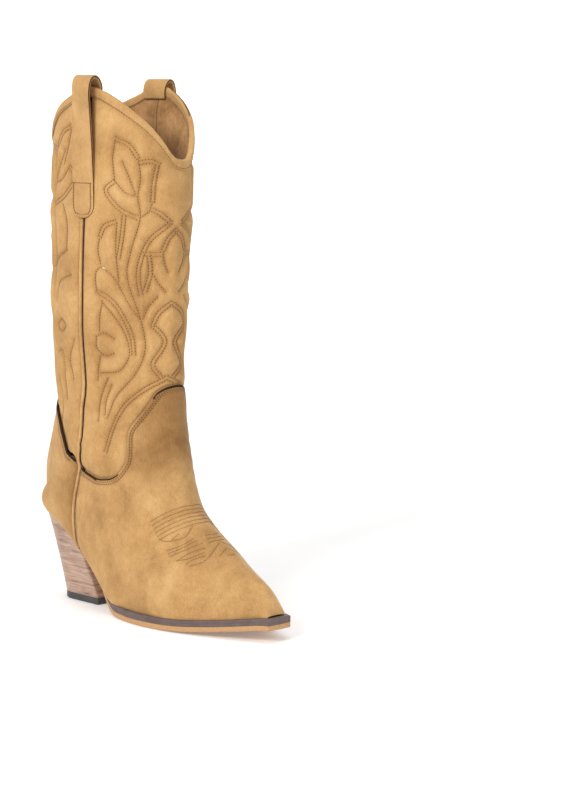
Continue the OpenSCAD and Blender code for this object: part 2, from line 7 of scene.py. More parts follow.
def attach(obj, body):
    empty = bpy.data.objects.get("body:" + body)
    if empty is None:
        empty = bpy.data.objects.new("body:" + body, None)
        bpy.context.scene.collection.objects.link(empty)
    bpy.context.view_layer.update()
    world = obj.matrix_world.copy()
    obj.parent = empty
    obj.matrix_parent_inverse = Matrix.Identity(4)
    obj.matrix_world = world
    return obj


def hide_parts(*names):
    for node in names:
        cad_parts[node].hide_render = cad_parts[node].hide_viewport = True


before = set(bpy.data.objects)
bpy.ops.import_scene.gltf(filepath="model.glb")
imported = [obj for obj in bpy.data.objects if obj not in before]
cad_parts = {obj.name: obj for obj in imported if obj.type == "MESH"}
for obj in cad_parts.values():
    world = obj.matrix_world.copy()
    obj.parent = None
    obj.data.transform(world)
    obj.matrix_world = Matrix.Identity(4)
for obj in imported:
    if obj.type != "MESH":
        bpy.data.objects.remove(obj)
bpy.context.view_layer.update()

# ------------------------------------------------------------------ the skin of the upper
# The same loft as the CAD: millimetres, s forward from the heel, a outward, z up. A "loop" is a
# place along the list of sections, an angle goes round the loop from its front or ridge.
# Row: front (s, z), sole edge or back (s, z), half width there, greatest half width,
# how high up that width lies, roundness of the front, sideways shift.
SECTIONS = np.array([
    [262.3, 19.4, 262.3, 18.5, 7.5, 7.5, .20, 1.80, 0],
    [260.5, 24.0, 260.5, 18.3, 8.6, 8.8, .20, 1.80, 0],
    [257.5, 29.0, 257.0, 18.0, 10, 10.5, .18, 1.70, 0],
    [251.0, 37.0, 249.0, 16.8, 13.5, 14.2, .16, 1.60, 0],
    [241.0, 43.5, 238.0, 15.3, 19, 20, .15, 1.55, 0],
    [222.0, 53.5, 216.0, 12.6, 27.5, 28.7, .16, 1.55, 0],
    [200.0, 65.5, 190.0, 10.2, 35.5, 37, .18, 1.60, 0],
    [180.0, 78.5, 162.0, 9.4, 38.5, 40.3, .22, 1.65, 0],
    [164.0, 95.0, 134.0, 9.4, 36, 38.2, .28, 1.75, .5],
    [156.0, 116.0, 110.0, 12.5, 32.8, 37, .34, 1.85, 1],
    [150.0, 138.5, 84.0, 35.0, 30, 36.5, .38, 1.95, 1],
    [146.0, 158.5, 52.0, 60.0, 29.5, 36.7, .42, 2, .5],
    [144.0, 176.0, 24.0, 71.5, 26, 36.5, .45, 2, 0],
    [144.0, 187.0, 8.5, 76.2, 16.5, 35.7, .46, 2, 0],
    [144.3, 195.0, 3.0, 78.5, 2, 34.5, .48, 2, 0],
    [145.0, 212.0, 3.0, 102.0, 0, 32.8, .48, 2, 0],
    [145.3, 226.0, 12.5, 128.0, 0, 33.5, .50, 2, 0],
    [145.3, 241.0, 20.0, 156.0, 0, 35.3, .50, 2, 0],
    [145.5, 270.0, 19.5, 215.0, 0, 39.2, .50, 2, 0],
    [147.0, 320.0, 19.5, 300.0, 0, 42, .50, 2, 0],
    [148.0, 370.0, 22.0, 365.0, 0, 42.2, .50, 2, 0],
    [148.0, 432.0, 24.5, 432.0, 0, 41.6, .50, 2, 0]])
LAST = len(SECTIONS) - 1
HEEL_REAR, BREAST = 14.0, 10.45
# Where the row frame's origin lies in boot millimetres
ORIGIN_S, ORIGIN_A = 133.8, -3.5
# Twist of the shaft against the foot (degrees) and its lean to the side (mm)
TURN, LEAN = 8.0, 3.0
# The side seam as (loops, angles), and edges of the leather as (angles, loops or heights)
SEAM = ([0, 11.8, 13, 14.5, 16, 17.5, 18.1, 19, 20, 22], [93, 93, 87.5, 87.5, 92.5, 96.5, 95.3, 92, 88, 86])
VAMP_EDGE = ([0, 8, 16, 22, 30, 37, 43, 48.5, 51, 53, 55, 58, 64, 71, 77, 83, 88, 93, 101, 116, 130, 145,
              180],
             [12.42, 12.43, 12.45, 12.4, 12.03, 11.75, 11.6, 11.45, 11.25, 10.85, 10.6, 10.5, 10.46, 10.55,
              10.72, 10.95, 11.32, 11.8, 11.51, 11.18, 10.93, 10.72, 10.45])
COUNTER_EDGE = ([93, 95.5, 98, 102, 107, 113, 121, 137, 150, 160, 180],
                [11.8, 12.7, 13.4, 14.2, 14.8, 15.3, 15.8, 16.6, 16.9, 17.07, 17.2])
TOP_LINE = ([0, 8, 15, 22, 32, 40, 49, 60, 73, 82, 92, 107, 122, 139, 160, 180],
            [353, 354, 358, 365.5, 375.5, 382.5, 389, 396.5, 404, 408, 409.5, 402, 395, 383, 371, 367])


def smooth_step(x):
    x = np.clip(x, 0.0, 1.0)
    return x * x * (3 - 2 * x)


def pchip(xs, ys):
    """A smooth curve through points that never overshoots them."""
    xs, ys = np.asarray(xs, float), np.asarray(ys, float)
    h = np.diff(xs)
    d = np.diff(ys) / h
    m = np.zeros_like(ys)
    m[0], m[-1] = d[0], d[-1]
    for i in range(1, len(ys) - 1):
        if d[i - 1] * d[i] > 0:
            w1, w2 = 2 * h[i] + h[i - 1], h[i] + 2 * h[i - 1]
            m[i] = (w1 + w2) / (w1 / d[i - 1] + w2 / d[i])

    def at(x):
        x = np.asarray(x, float)
        i = np.clip(np.searchsorted(xs, x, side="right") - 1, 0, len(h) - 1)
        u = (x - xs[i]) / h[i]
        return ((2 * u**3 - 3 * u**2 + 1) * ys[i] + (u**3 - 2 * u**2 + u) * h[i] * m[i]
                + (-2 * u**3 + 3 * u**2) * ys[i + 1] + (u**3 - u**2) * h[i] * m[i + 1])
    return at


seam_angle = pchip(*SEAM)
_vamp_a = pchip(VAMP_EDGE[0][:18], VAMP_EDGE[1][:18])
_vamp_b = pchip(VAMP_EDGE[0][17:], VAMP_EDGE[1][17:])
_counter = pchip(*COUNTER_EDGE)
_top = pchip(*TOP_LINE)


def vamp_edge(h):
    h = np.abs(h)
    return np.where(h <= 93, _vamp_a(np.minimum(h, 93)), _vamp_b(np.maximum(h, 93)))


def counter_edge(h):
    return _counter(np.maximum(np.abs(h), 93))


def top_line(h):
    return _top(np.abs(h))


def through(a, b, c, d, u):
    """The Catmull-Rom curve from b (u = 0) to c (u = 1)."""
    return .5 * (2 * b + (c - a) * u + (2 * a - 5 * b + 4 * c - d) * u**2 + (3 * b - a - 3 * c + d) * u**3)


def section(t):
    t = np.clip(t, 0.0, LAST)
    i = np.clip(np.floor(t).astype(int), 0, LAST - 1)
    u = (t - i)[..., None]
    b, c = SECTIONS[i], SECTIONS[i + 1]
    a = np.where((i > 0)[..., None], SECTIONS[np.maximum(i - 1, 0)], 2 * b - c)
    d = np.where((i < LAST - 1)[..., None], SECTIONS[np.minimum(i + 2, LAST)], 2 * c - b)
    return through(a, b, c, d, u)


def turned(s, a, z):
    r = np.radians(TURN) * smooth_step((z - 90) / 170)
    a2 = a * np.cos(r) - (s - 80) * np.sin(r) - LEAN * np.clip((z - 82) / 328, 0, 1.2)
    return np.stack([80 + (s - 80) * np.cos(r) + a * np.sin(r), a2, z], -1)


def loop_point(g, h):
    c, w = np.abs(np.cos(np.radians(h))), np.abs(np.sin(np.radians(h)))
    up = np.abs(h) <= 90
    v = np.where(up, g[..., 6] + (1 - g[..., 6]) * c ** (2 / g[..., 7]), g[..., 6] * (1 - c))
    edge = np.maximum(0, g[..., 4])
    half = np.where(up, g[..., 5] * w ** (2 / g[..., 7]), edge + (g[..., 5] - edge) * w)
    return turned(g[..., 2] + v * (g[..., 0] - g[..., 2]), g[..., 8] + half * np.sign(h),
                  g[..., 3] + v * (g[..., 1] - g[..., 3]))


def on_loop(g, h):
    over = np.abs(h) > 180
    sg = np.sign(h)
    plain = loop_point(g, np.where(over, h - 360 * sg, h))
    straight = 2 * loop_point(g, 180 * sg) - loop_point(g, np.where(over, 360 * sg - h, h))
    return np.where((over & (g[..., 4] >= .5))[..., None], straight, plain)


def skin_normal(t, h):
    t = np.maximum(.5, t)
    g = section(t)
    round_way = on_loop(g, h + 1.5) - on_loop(g, h - 1.5)
    up_way = on_loop(section(t + .04), h) - on_loop(section(t - .04), h)
    n = np.cross(round_way, up_way)
    return n / np.maximum(np.linalg.norm(n, axis=-1, keepdims=True), 1e-9)


def skin(t, h, d=0.0):
    t, h = np.broadcast_arrays(np.asarray(t, float), np.asarray(h, float))
    p = on_loop(section(t), h)
    depth = np.asarray(d, float)[..., None] if np.ndim(d) else d
    return p + skin_normal(t, h) * depth


def loop_at(z, h):
    z, h = np.broadcast_arrays(np.asarray(z, float), np.asarray(h, float))
    lo, hi = np.full(z.shape, 8.0), np.full(z.shape, float(LAST))
    for _ in range(20):
        m = (lo + hi) / 2
        below = on_loop(section(m), h)[..., 2] < z
        lo, hi = np.where(below, m, lo), np.where(below, hi, m)
    return (lo + hi) / 2


def to_row(p):
    p = np.asarray(p, float)
    return np.stack([ORIGIN_A - p[..., 1], ORIGIN_S - p[..., 0], p[..., 2]], -1) / 1000.0


def row_normal(n):
    """A direction in boot coordinates to the row frame."""
    return np.stack([-n[..., 1], -n[..., 0], n[..., 2]], -1)


# ------------------------------------------------------------------ vectors and lines
def unit(v):
    return v / np.linalg.norm(v, axis=-1, keepdims=True)


def travel(line):
    """How far along the line each of its points lies."""
    return np.concatenate([[0], np.cumsum(np.linalg.norm(np.diff(line, axis=0), axis=1))])


def at_distance(s, d, values):
    """Reads off, at the distances s, a table of values (n, m) that are given at the distances d."""
    return np.stack([np.interp(s, d, values[:, k]) for k in range(values.shape[1])], -1)


def relax(line, times):
    """Evens out a line of points in place; its ends stay."""
    for _ in range(times):
        line[1:-1] = (line[:-2] + 2 * line[1:-1] + line[2:]) / 4


# ------------------------------------------------------------------ mesh helpers
def belongs(ob, node=None):
    """Hangs the piece on the root body and hides the CAD node it stands for, if one is given."""
    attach(ob, "root")
    if node:
        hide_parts(node)


def new_mesh(name, verts, faces, mats, face_mat=None, attrs=None):
    """An object from numpy arrays. faces is a list of arrays, each of one number of corners."""
    me = bpy.data.meshes.new(name)
    verts = np.asarray(verts, np.float32).reshape(-1, 3)
    faces = [np.asarray(f, np.int32) for f in faces if len(f)]
    volume = sum(float(np.einsum("ij,ij->", verts[f[:, 0]], np.cross(verts[f[:, k]], verts[f[:, k + 1]])))
                 for f in faces for k in range(1, f.shape[1] - 1))
    if volume < 0:
        faces = [f[:, ::-1] for f in faces]
    count = sum(len(f) for f in faces)
    loops = np.concatenate([f.ravel() for f in faces])
    sizes = np.concatenate([np.full(len(f), f.shape[1], np.int32) for f in faces])
    me.vertices.add(len(verts))
    me.vertices.foreach_set("co", verts.ravel())
    me.loops.add(len(loops))
    me.loops.foreach_set("vertex_index", loops)
    me.polygons.add(count)
    me.polygons.foreach_set("loop_start", np.concatenate([[0], np.cumsum(sizes)[:-1]]).astype(np.int32))
    me.polygons.foreach_set("loop_total", sizes)
    if face_mat is not None:
        me.polygons.foreach_set("material_index", np.asarray(face_mat, np.int32))
    for m in mats:
        me.materials.append(m)
    me.update(calc_edges=True)
    me.validate()
    me.polygons.foreach_set("use_smooth", np.full(len(me.polygons), True))
    for key, values in (attrs or {}).items():
        layer = me.attributes.new(key, "FLOAT", "POINT")
        layer.data.foreach_set("value", np.asarray(values, np.float32).ravel())
    ob = bpy.data.objects.new(name, me)
    bpy.context.scene.collection.objects.link(ob)
    return ob


def grid_faces(n, m, ring=False, start=0, flip=False):
    i, j = np.meshgrid(np.arange(n - 1), np.arange(m if ring else m - 1), indexing="ij")
    k = (j + 1) % m
    f = np.stack([i * m + j, i * m + k, (i + 1) * m + k, (i + 1) * m + j], -1).reshape(-1, 4) + start
    return f[:, ::-1] if flip else f


def shell(name, node, outer, inner, mats, ring=False, rim_mat=0, attrs=None):
    """A closed sheet between two grids of points (rows, columns, 3), in boot millimetres."""
    outer, inner = to_row(outer), to_row(inner)
    n, m = outer.shape[:2]
    k = n * m
    top, low = grid_faces(n, m, ring), grid_faces(n, m, ring, k, True)
    rims = []
    jj = np.arange(m if ring else m - 1)
    kk = (jj + 1) % m
    rims.append(np.stack([kk, jj, jj + k, kk + k], -1))
    b = (n - 1) * m
    rims.append(np.stack([b + jj, b + kk, b + kk + k, b + jj + k], -1))
    if not ring:
        ii = np.arange(n - 1) * m
        rims.append(np.stack([ii, ii + m, ii + m + k, ii + k], -1))
        rims.append(np.stack([ii + m + m - 1, ii + m - 1, ii + m - 1 + k, ii + m + m - 1 + k], -1))
    rim = np.concatenate(rims)
    fm = np.concatenate([np.zeros(len(top)), np.zeros(len(low)), np.full(len(rim), rim_mat)])
    at = {key: np.concatenate([v.ravel(), v.ravel()]) for key, v in (attrs or {}).items()}
    points = np.concatenate([outer.reshape(-1, 3), inner.reshape(-1, 3)])
    ob = new_mesh(name, points, [top, low, rim], mats, fm, at)
    belongs(ob, node)
    return ob


def tree_of(points):
    tree = KDTree(len(points))
    for i, p in enumerate(points):
        tree.insert(p, i)
    tree.balance()
    return tree


def distance(tree, points):
    flat = points.reshape(-1, 3)
    return np.array([tree.find(p)[2] for p in flat]).reshape(points.shape[:-1])


def catmull(points, step=.12):
    """A smooth polyline through given points."""
    p = np.asarray(points, float)
    if len(p) == 2:
        return p[0] + (p[1] - p[0]) * np.linspace(0, 1, 12)[:, None]
    ext = np.vstack([2 * p[0] - p[1], p, 2 * p[-1] - p[-2]])
    u = np.arange(0, 1, step)[:, None]
    out = []
    for i in range(len(p) - 1):
        a, b, c, d = ext[i:i + 4]
        out.append(through(a, b, c, d, u))
    return np.vstack(out + [p[-1:]])


def resample(line, step):
    d = travel(line)
    n = max(2, int(round(d[-1] / step)) + 1)
    s = np.linspace(0, d[-1], n)
    return at_distance(s, d, line)


def sweep(name, rings, mats, endless=False):
    """A closed tube through rings of points (n, m, 3), in row-frame metres."""
    n, m = rings.shape[:2]
    pts = rings.reshape(-1, 3)
    if endless:
        body = grid_faces(n + 1, m, True) % (n * m)
        return new_mesh(name, pts, [body], mats)
    mid = np.stack([rings[0].mean(0), rings[-1].mean(0)])
    j = np.arange(m)
    k = (j + 1) % m
    caps = np.concatenate([np.stack([k, j, np.full(m, n * m)], -1),
                           np.stack([(n - 1) * m + j, (n - 1) * m + k, np.full(m, n * m + 1)], -1)])
    return new_mesh(name, np.concatenate([pts, mid]), [grid_faces(n, m, True), caps], mats)


def circle(a, x, y):
    """Unit circles of angles a, one in each plane of x and y (n, 3)."""
    return np.cos(a)[None, :, None] * x[:, None] + np.sin(a)[None, :, None] * y[:, None]


def tube(name, line, normal, radius, sides, mats):
    """A round cord along line (n, 3), in metres; normal (n, 3) points away from what it lies on."""
    t = np.gradient(line, axis=0)
    t = unit(t)
    b = np.cross(t, normal)
    b = unit(b)
    u = np.cross(b, t)
    a = np.linspace(0, 2 * np.pi, sides, endpoint=False)
    r = np.broadcast_to(np.asarray(radius, float), (len(line),))[:, None, None]
    ring = line[:, None] + r * circle(a, b, u)
    return sweep(name, ring[:, ::-1], mats)


# ------------------------------------------------------------------ stitches
class Thread:
    """Collects real stitches, each a short bowed length of thread that dives in at both ends."""

    def __init__(self, radius=.24, length=1.45, gap=.85, hole=.43):
        self.r, self.len, self.gap, self.hole = radius / 1000, length / 1000, gap / 1000, hole / 1000
        self.v, self.f, self.end_faces, self.n = [], [], [], 0
        self.hv, self.hf = [], []

    def along(self, line, normal):
        """Sews along line (n, 3), in boot millimetres; normal points out of the leather."""
        line, normal = to_row(line), row_normal(normal)
        d = travel(line)
        pitch = self.len + self.gap
        count = int(d[-1] / pitch)
        if count < 1:
            return
        pitch = d[-1] / count
        start = np.arange(count) * pitch + self.gap / 2
        s = start[:, None] + (pitch - self.gap) * np.array([0, .22, .5, .78, 1])[None]
        pos = at_distance(s, d, line)
        nor = at_distance(s, d, normal)
        nor = unit(nor)
        pos = pos + nor * (self.r * np.array([-1.3, .35, .75, .35, -1.3]))[None, :, None]
        t = np.gradient(pos, axis=1)
        t = unit(t)
        b = np.cross(t, nor)
        b = unit(b)
        u = np.cross(b, t)
        a = np.linspace(0, 2 * np.pi, 6, endpoint=False)
        rad = self.r * np.array([.6, .95, 1, .95, .6])
        ring = pos[:, :, None] + rad[None, :, None, None] * (
            np.cos(a)[None, None, :, None] * b[:, :, None] + np.sin(a)[None, None, :, None] * u[:, :, None])
        one = grid_faces(5, 6, True, 0, True)
        base = np.arange(count)[:, None, None] * 30
        self.f.append((one[None] + base + self.n).reshape(-1, 4))
        self.v.append(ring.reshape(-1, 3))
        caps = np.array([[0, 1, 2, 3, 4, 5], [29, 28, 27, 26, 25, 24]])
        self.end_faces.append((caps[None] + base + self.n).reshape(-1, 6))
        self.n += count * 30
        # A small dark disc at each needle hole, painted shade for the pit.
        at = np.arange(count + 1) * pitch
        p = at_distance(at, d, line)
        w = at_distance(at, d, normal)
        w = unit(w)
        x = np.stack([np.interp(at, d, np.gradient(line[:, k])) for k in range(3)], -1)
        x = unit(x)
        y = np.cross(w, x)
        rim = p[:, None] + self.hole * circle(a, x, y)
        rim = rim + w[:, None] * .00003
        pit = np.concatenate([rim, (p + w * .00012)[:, None], (p - w * .0003)[:, None]], 1)
        six = np.arange(6)
        tri = np.concatenate([np.stack([six, (six + 1) % 6, np.full(6, 6)], -1),
                              np.stack([(six + 1) % 6, six, np.full(6, 7)], -1)])
        start = sum(len(q) for q in self.hv)
        self.hf.append((tri[None] + np.arange(count + 1)[:, None, None] * 8 + start).reshape(-1, 3))
        self.hv.append(pit.reshape(-1, 3))

    def build(self, name, mat):
        holes = new_mesh(name + "_needle_holes", np.concatenate(self.hv), [np.concatenate(self.hf)],
                         [hole_shade_mat])
        belongs(holes)
        faces = [np.concatenate(self.f), np.concatenate(self.end_faces)]
        ob = new_mesh(name, np.concatenate(self.v), faces, [mat])
        belongs(ob)


def surface_line(hz, d, by_height=True, step=.8):
    """Points (angle, height or loop) to a polyline on the skin at depth d, with its normals."""
    hz = np.asarray(hz, float)
    t = loop_at(hz[:, 1], hz[:, 0]) if by_height else hz[:, 1]
    th = resample_on_skin(t, hz[:, 0], step)
    n = skin_normal(th[:, 0], th[:, 1])
    return skin(th[:, 0], th[:, 1], d), n, th


def resample_on_skin(t, h, step):
    p = skin(t, h)
    d = travel(p)
    s = np.linspace(0, d[-1], max(3, int(d[-1] / step) + 1))
    return np.stack([np.interp(s, d, t), np.interp(s, d, h)], -1)


def beside(line, normal, w):
    """The polyline moved sideways by w on the surface."""
    t = np.gradient(line, axis=0)
    t /= np.maximum(np.linalg.norm(t, axis=1, keepdims=True), 1e-9)
    b = np.cross(normal, t)
    return line + b * w


# ------------------------------------------------------------------ materials
class Nodes:
    """A short way to write a node material."""

    def __init__(self, name):
        self.mat = bpy.data.materials.new(name)
        self.mat.use_nodes = True
        self.tree = self.mat.node_tree
        self.bsdf = self.tree.nodes["Principled BSDF"]
        self.coord = self.add("ShaderNodeTexCoord").outputs["Object"]

    def add(self, kind, **inputs):
        node = self.tree.nodes.new(kind)
        for key, value in inputs.items():
            self.put(node.inputs[key.replace("_", " ")], value)
        return node

    def put(self, socket, value):
        if isinstance(value, bpy.types.NodeSocket):
            self.tree.links.new(value, socket)
        else:
            socket.default_value = value

    def put_colour(self, socket, value):
        self.put(socket, value if isinstance(value, bpy.types.NodeSocket) else (*value, 1))

    def noise(self, scale, detail=3.0, rough=.55, stretch=None, distort=0.0):
        src = self.coord
        if stretch:
            m = self.add("ShaderNodeMapping", Vector=src)
            m.inputs["Scale"].default_value = stretch
            src = m.outputs["Vector"]
        n = self.add("ShaderNodeTexNoise", Vector=src, Scale=scale, Detail=detail, Roughness=rough)
        n.inputs["Distortion"].default_value = distort
        return n.outputs["Fac"]

    def math(self, op, a, b=0.0):
        n = self.add("ShaderNodeMath")
        n.operation = op
        self.put(n.inputs[0], a)
        self.put(n.inputs[1], b)
        return n.outputs[0]

    def ramp(self, fac, stops):
        n = self.add("ShaderNodeValToRGB", Fac=fac)
        e = n.color_ramp.elements
        while len(e) < len(stops):
            e.new(.5)
        for k, (pos, colour) in enumerate(stops):
            e[k].position = pos
            e[k].color = (*colour, 1)
        return n.outputs["Color"]

    def mix(self, fac, a, b, mode="MIX"):
        n = self.add("ShaderNodeMix")
        n.data_type = "RGBA"
        n.blend_type = mode
        self.put(n.inputs["Factor"], fac)
        self.put_colour(n.inputs[6], a)
        self.put_colour(n.inputs[7], b)
        return n.outputs[2]

    def attribute(self, name):
        n = self.add("ShaderNodeAttribute")
        n.attribute_name = name
        return n.outputs["Fac"]

    def bump(self, height, strength, dist, under=None):
        n = self.add("ShaderNodeBump", Height=height, Strength=strength, Distance=dist)
        if under is not None:
            self.put(n.inputs["Normal"], under)
        return n.outputs["Normal"]

    def shade(self, colour=None, rough=.6, normal=None, **values):
        b = self.bsdf
        if colour is not None:
            self.put_colour(b.inputs["Base Color"], colour)
        self.put(b.inputs["Roughness"], rough)
        if normal is not None:
            self.put(b.inputs["Normal"], normal)
        for key, value in values.items():
            self.put(b.inputs[key.replace("_", " ")], value)
        return self.mat


def suede(name, dark, mid, light, painted_shade=None, grain=1.0, sheen=.25, spread=.75):
    """Brushed suede: patches where the nap lies one way or the other, over a short fibre."""
    m = Nodes(name)
    patch = m.noise(34 * grain, 3, .5, distort=.5)
    nap = m.noise(170 * grain, 3, .55, distort=.3)
    fibre = m.noise(1100, 4, .75)
    streak = m.noise(1, 3, .6, stretch=(900, 900, 300))
    fac = m.math("ADD", m.math("MULTIPLY", patch, .62 * spread), m.math("MULTIPLY", nap, .20 * spread))
    fac = m.math("ADD", fac, m.math("MULTIPLY", fibre, .34))
    fac = m.math("ADD", fac, m.math("MULTIPLY", streak, .22))
    fac = m.math("ADD", fac, .5 - .5 * (.82 * spread + .56))
    colour = m.ramp(fac, [(.36, dark), (.5, mid), (.64, light)])
    # Painted shade: where the mesh's painted_shade value is high, the colour is multiplied by the given tint,
    # darkening stitch valleys, seams, gaps and creases.
    if painted_shade is not None:
        colour = m.mix(m.attribute("painted_shade"), colour, m.mix(1.0, colour, painted_shade, "MULTIPLY"))
    low = m.bump(nap, .25, .0006)
    normal = m.bump(m.math("ADD", fibre, streak), .35, .00022, low)
    return m.shade(colour, .92, normal, Sheen_Weight=sheen, Sheen_Roughness=.45,
                   Sheen_Tint=(.95, .80, .58, 1), Specular_IOR_Level=.18)


DARK, MID, LIGHT = (.36, .195, .070), (.48, .275, .105), (.58, .355, .150)
# The fourth colour is the tint of the painted shade; trim, piping and lining have none.
suede_shaft = suede("suede shaft", DARK, MID, LIGHT, (.66, .55, .42))
suede_vamp = suede("suede vamp", DARK, MID, LIGHT, (.50, .42, .34), .9, spread=1.0)
suede_counter = suede("suede counter", DARK, MID, LIGHT, (.62, .52, .42))
suede_trim = suede("suede trim", (.37, .20, .075), (.47, .27, .105), (.56, .34, .145), None, 1.4)
suede_piping = suede("suede piping", (.36, .195, .070), (.49, .285, .115), (.60, .375, .165), None, 2.0)
lining_suede = suede("microfibre lining", (.28, .140, .052), (.42, .225, .090), (.54, .31, .135), None, 1.6,
                     .35, 1.2)


def plain(name, colour, rough=.6, grain=300.0, amount=.15, depth=.0002, **values):
    m = Nodes(name)
    fine = m.noise(grain, 4, .6)
    lo = tuple(c * (1 - amount) for c in colour)
    hi = tuple(min(1, c * (1 + amount)) for c in colour)
    return m.shade(m.ramp(fine, [(.3, lo), (.7, hi)]), rough, m.bump(fine, .3, depth), **values)


raw_edge = plain("raw edge", (.032, .019, .012), .9, 900, .35, Specular_IOR_Level=.08)
# Painted shadow: a near-black brown for the panels' rims and for the strip under the piping and along the
# heel seam, standing in for the shade in the seam gaps.
seam_shadow = plain("seam shadow_strip", (.085, .040, .018), .95, 700, .3)
# The strap's dyed raw edge, darkened further as painted shadow of the gap between strap and shaft.
strap_edge_dye_and_shade = plain("strap edge", (.10, .045, .020), .9, 900, .35, Specular_IOR_Level=.1)
thread_mat = plain("thread", (.38, .190, .060), .6, 2500, .3, .0001, Sheen_Weight=.2)
thread_dark = plain("thread dark", (.30, .145, .048), .6, 2500, .3, .0001)
# Painted shade: dark discs at the needle holes stand in for the shadow in each hole.
hole_shade_mat = plain("needle holes", (.10, .048, .020), .95, 2500, .3, .0001)
foam_mat = plain("foam", (.80, .76, .66), .95, 1200, .12, .0004)
board_mat = plain("fibreboard", (.42, .29, .17), .9, 500, .25)
stiff_mat = plain("stiffener", (.62, .50, .34), .8, 400, .15)
steel_mat = plain("steel", (.50, .51, .53), .35, 900, .12, .00005, Metallic=1.0)


def rubber(name, colour, rough):
    m = Nodes(name)
    fine, broad = m.noise(1600, 4, .6), m.noise(90, 3, .6)
    lo, hi = tuple(c * .78 for c in colour), tuple(min(1, c * 1.22) for c in colour)
    return m.shade(m.ramp(m.math("ADD", m.math("MULTIPLY", fine, .4), m.math("MULTIPLY", broad, .6)),
                          [(.38, lo), (.62, hi)]), rough, m.bump(fine, .4, .00015), Specular_IOR_Level=.4)


welt_mat = rubber("welt", (.125, .088, .080), .55)
lift_mat = rubber("top lift", (.060, .054, .055), .5)
sole_mat = plain("outsole", (.50, .275, .120), .5, 700, .12, .00012)


def stacked_wood():
    """Printed stacked grain: wavy growth lines that run level round the heel."""
    m = Nodes("stacked wood")
    warp = m.noise(60, 3, .6)
    wave = m.noise(1, 4, .62, stretch=(38, 38, 620), distort=1.1)
    line = m.noise(1, 5, .7, stretch=(55, 55, 1500), distort=.9)
    broad = m.noise(1, 2, .5, stretch=(14, 14, 150), distort=.5)
    fac = m.math("ADD", m.math("MULTIPLY", wave, .46), m.math("MULTIPLY", line, .26))
    fac = m.math("ADD", fac, m.math("ADD", m.math("MULTIPLY", broad, .20), m.math("MULTIPLY", warp, .08)))
    colour = m.ramp(fac, [(.36, (.135, .070, .045)), (.46, (.31, .185, .130)), (.53, (.44, .285, .205)),
                          (.66, (.60, .42, .32))])
    return m.shade(colour, .48, m.bump(fac, .35, .0003), Specular_IOR_Level=.45, Coat_Weight=.12,
                   Coat_Roughness=.3)


heel_mat = stacked_wood()


# ------------------------------------------------------------------ the stitched pattern
# One half of the western scrollwork on the front panel: (degrees round the skin from the centre line,
# height). The other half is its mirror. "2" marks a double row of stitches. Tulip head first, then its
# stalk and leaves, the vine down the middle, the hooks and the outer curl.
HALF_PATTERN = [
    ("2", [(65, 371), (54, 366), (46, 356)]),
    ("1", [(46, 356), (44, 342), (46, 327)]),
    ("1", [(65, 370), (67, 356), (65, 340)]),
    ("1", [(59, 354), (53, 341), (48, 329)]),
    ("1", [(65, 339), (56, 330), (46, 327)]),
    ("2", [(65, 339), (72, 331), (60, 317), (46, 311)]),
    ("2", [(45, 353), (35, 354), (27, 351)]),
    ("2", [(29, 351), (32, 337), (33, 323)]),
    ("1", [(33, 323), (36, 316), (44, 311)]),
    ("1", [(46, 327), (44, 310), (52, 284), (55, 264), (45, 232), (40, 208), (46, 190), (60, 172),
           (65, 155)]),
    ("2", [(33, 317), (24, 313), (14, 307)]),
    ("2", [(14, 307), (34, 295), (43, 280), (46, 265), (44, 252)]),
    ("2", [(36, 282), (35, 268), (40, 255)]),
    ("2", [(41, 283), (32, 283), (22, 283)]),
    ("1", [(34, 270), (27, 260), (20, 254)]),
    ("2", [(22, 286), (16, 295), (7, 301)]),
    ("1", [(22, 285), (21, 277), (17, 269)]),
    ("2", [(13, 245), (27, 238), (34, 228)]),
    ("2", [(34, 228), (20, 215), (31, 198), (21, 188)]),
    ("1", [(29, 250), (38, 242), (43, 233)]),
    ("2", [(14, 187), (36, 178), (53, 163), (71, 129)]),
    ("2", [(77, 296), (73, 304), (63, 308)]),
    ("1", [(77, 296), (79, 286), (77, 275)]),
    ("1", [(63, 307), (64, 285), (62, 262)]),
    ("2", [(57, 312), (59, 296), (62, 280)]),
    ("1", [(81, 269), (76, 272), (65, 263), (55, 245), (46, 233)]),
    ("1", [(81, 269), (82, 262), (81, 254)]),
    ("2", [(81, 254), (66, 244), (54, 222), (50, 205)]),
    ("1", [(77, 246), (62, 227), (54, 206), (60, 192), (78, 189)]),
    ("1", [(76, 246), (79, 235), (80, 223)]),
    ("1", [(83, 218), (76, 221), (68, 217)]),
    ("1", [(83, 218), (83, 209), (75, 203), (68, 205)]),
    ("1", [(80, 202), (81, 193), (80, 184)]),
    ("1", [(70, 185), (73, 168), (73, 152)]),
    ("1", [(65, 180), (68, 168), (68, 157)]),
]
# The pattern's centre line drifts round the shaft as it goes down: heights, then degrees
CENTRE = ([150, 215, 245, 300, 350], [12, 14, 13, 7, 5.5])
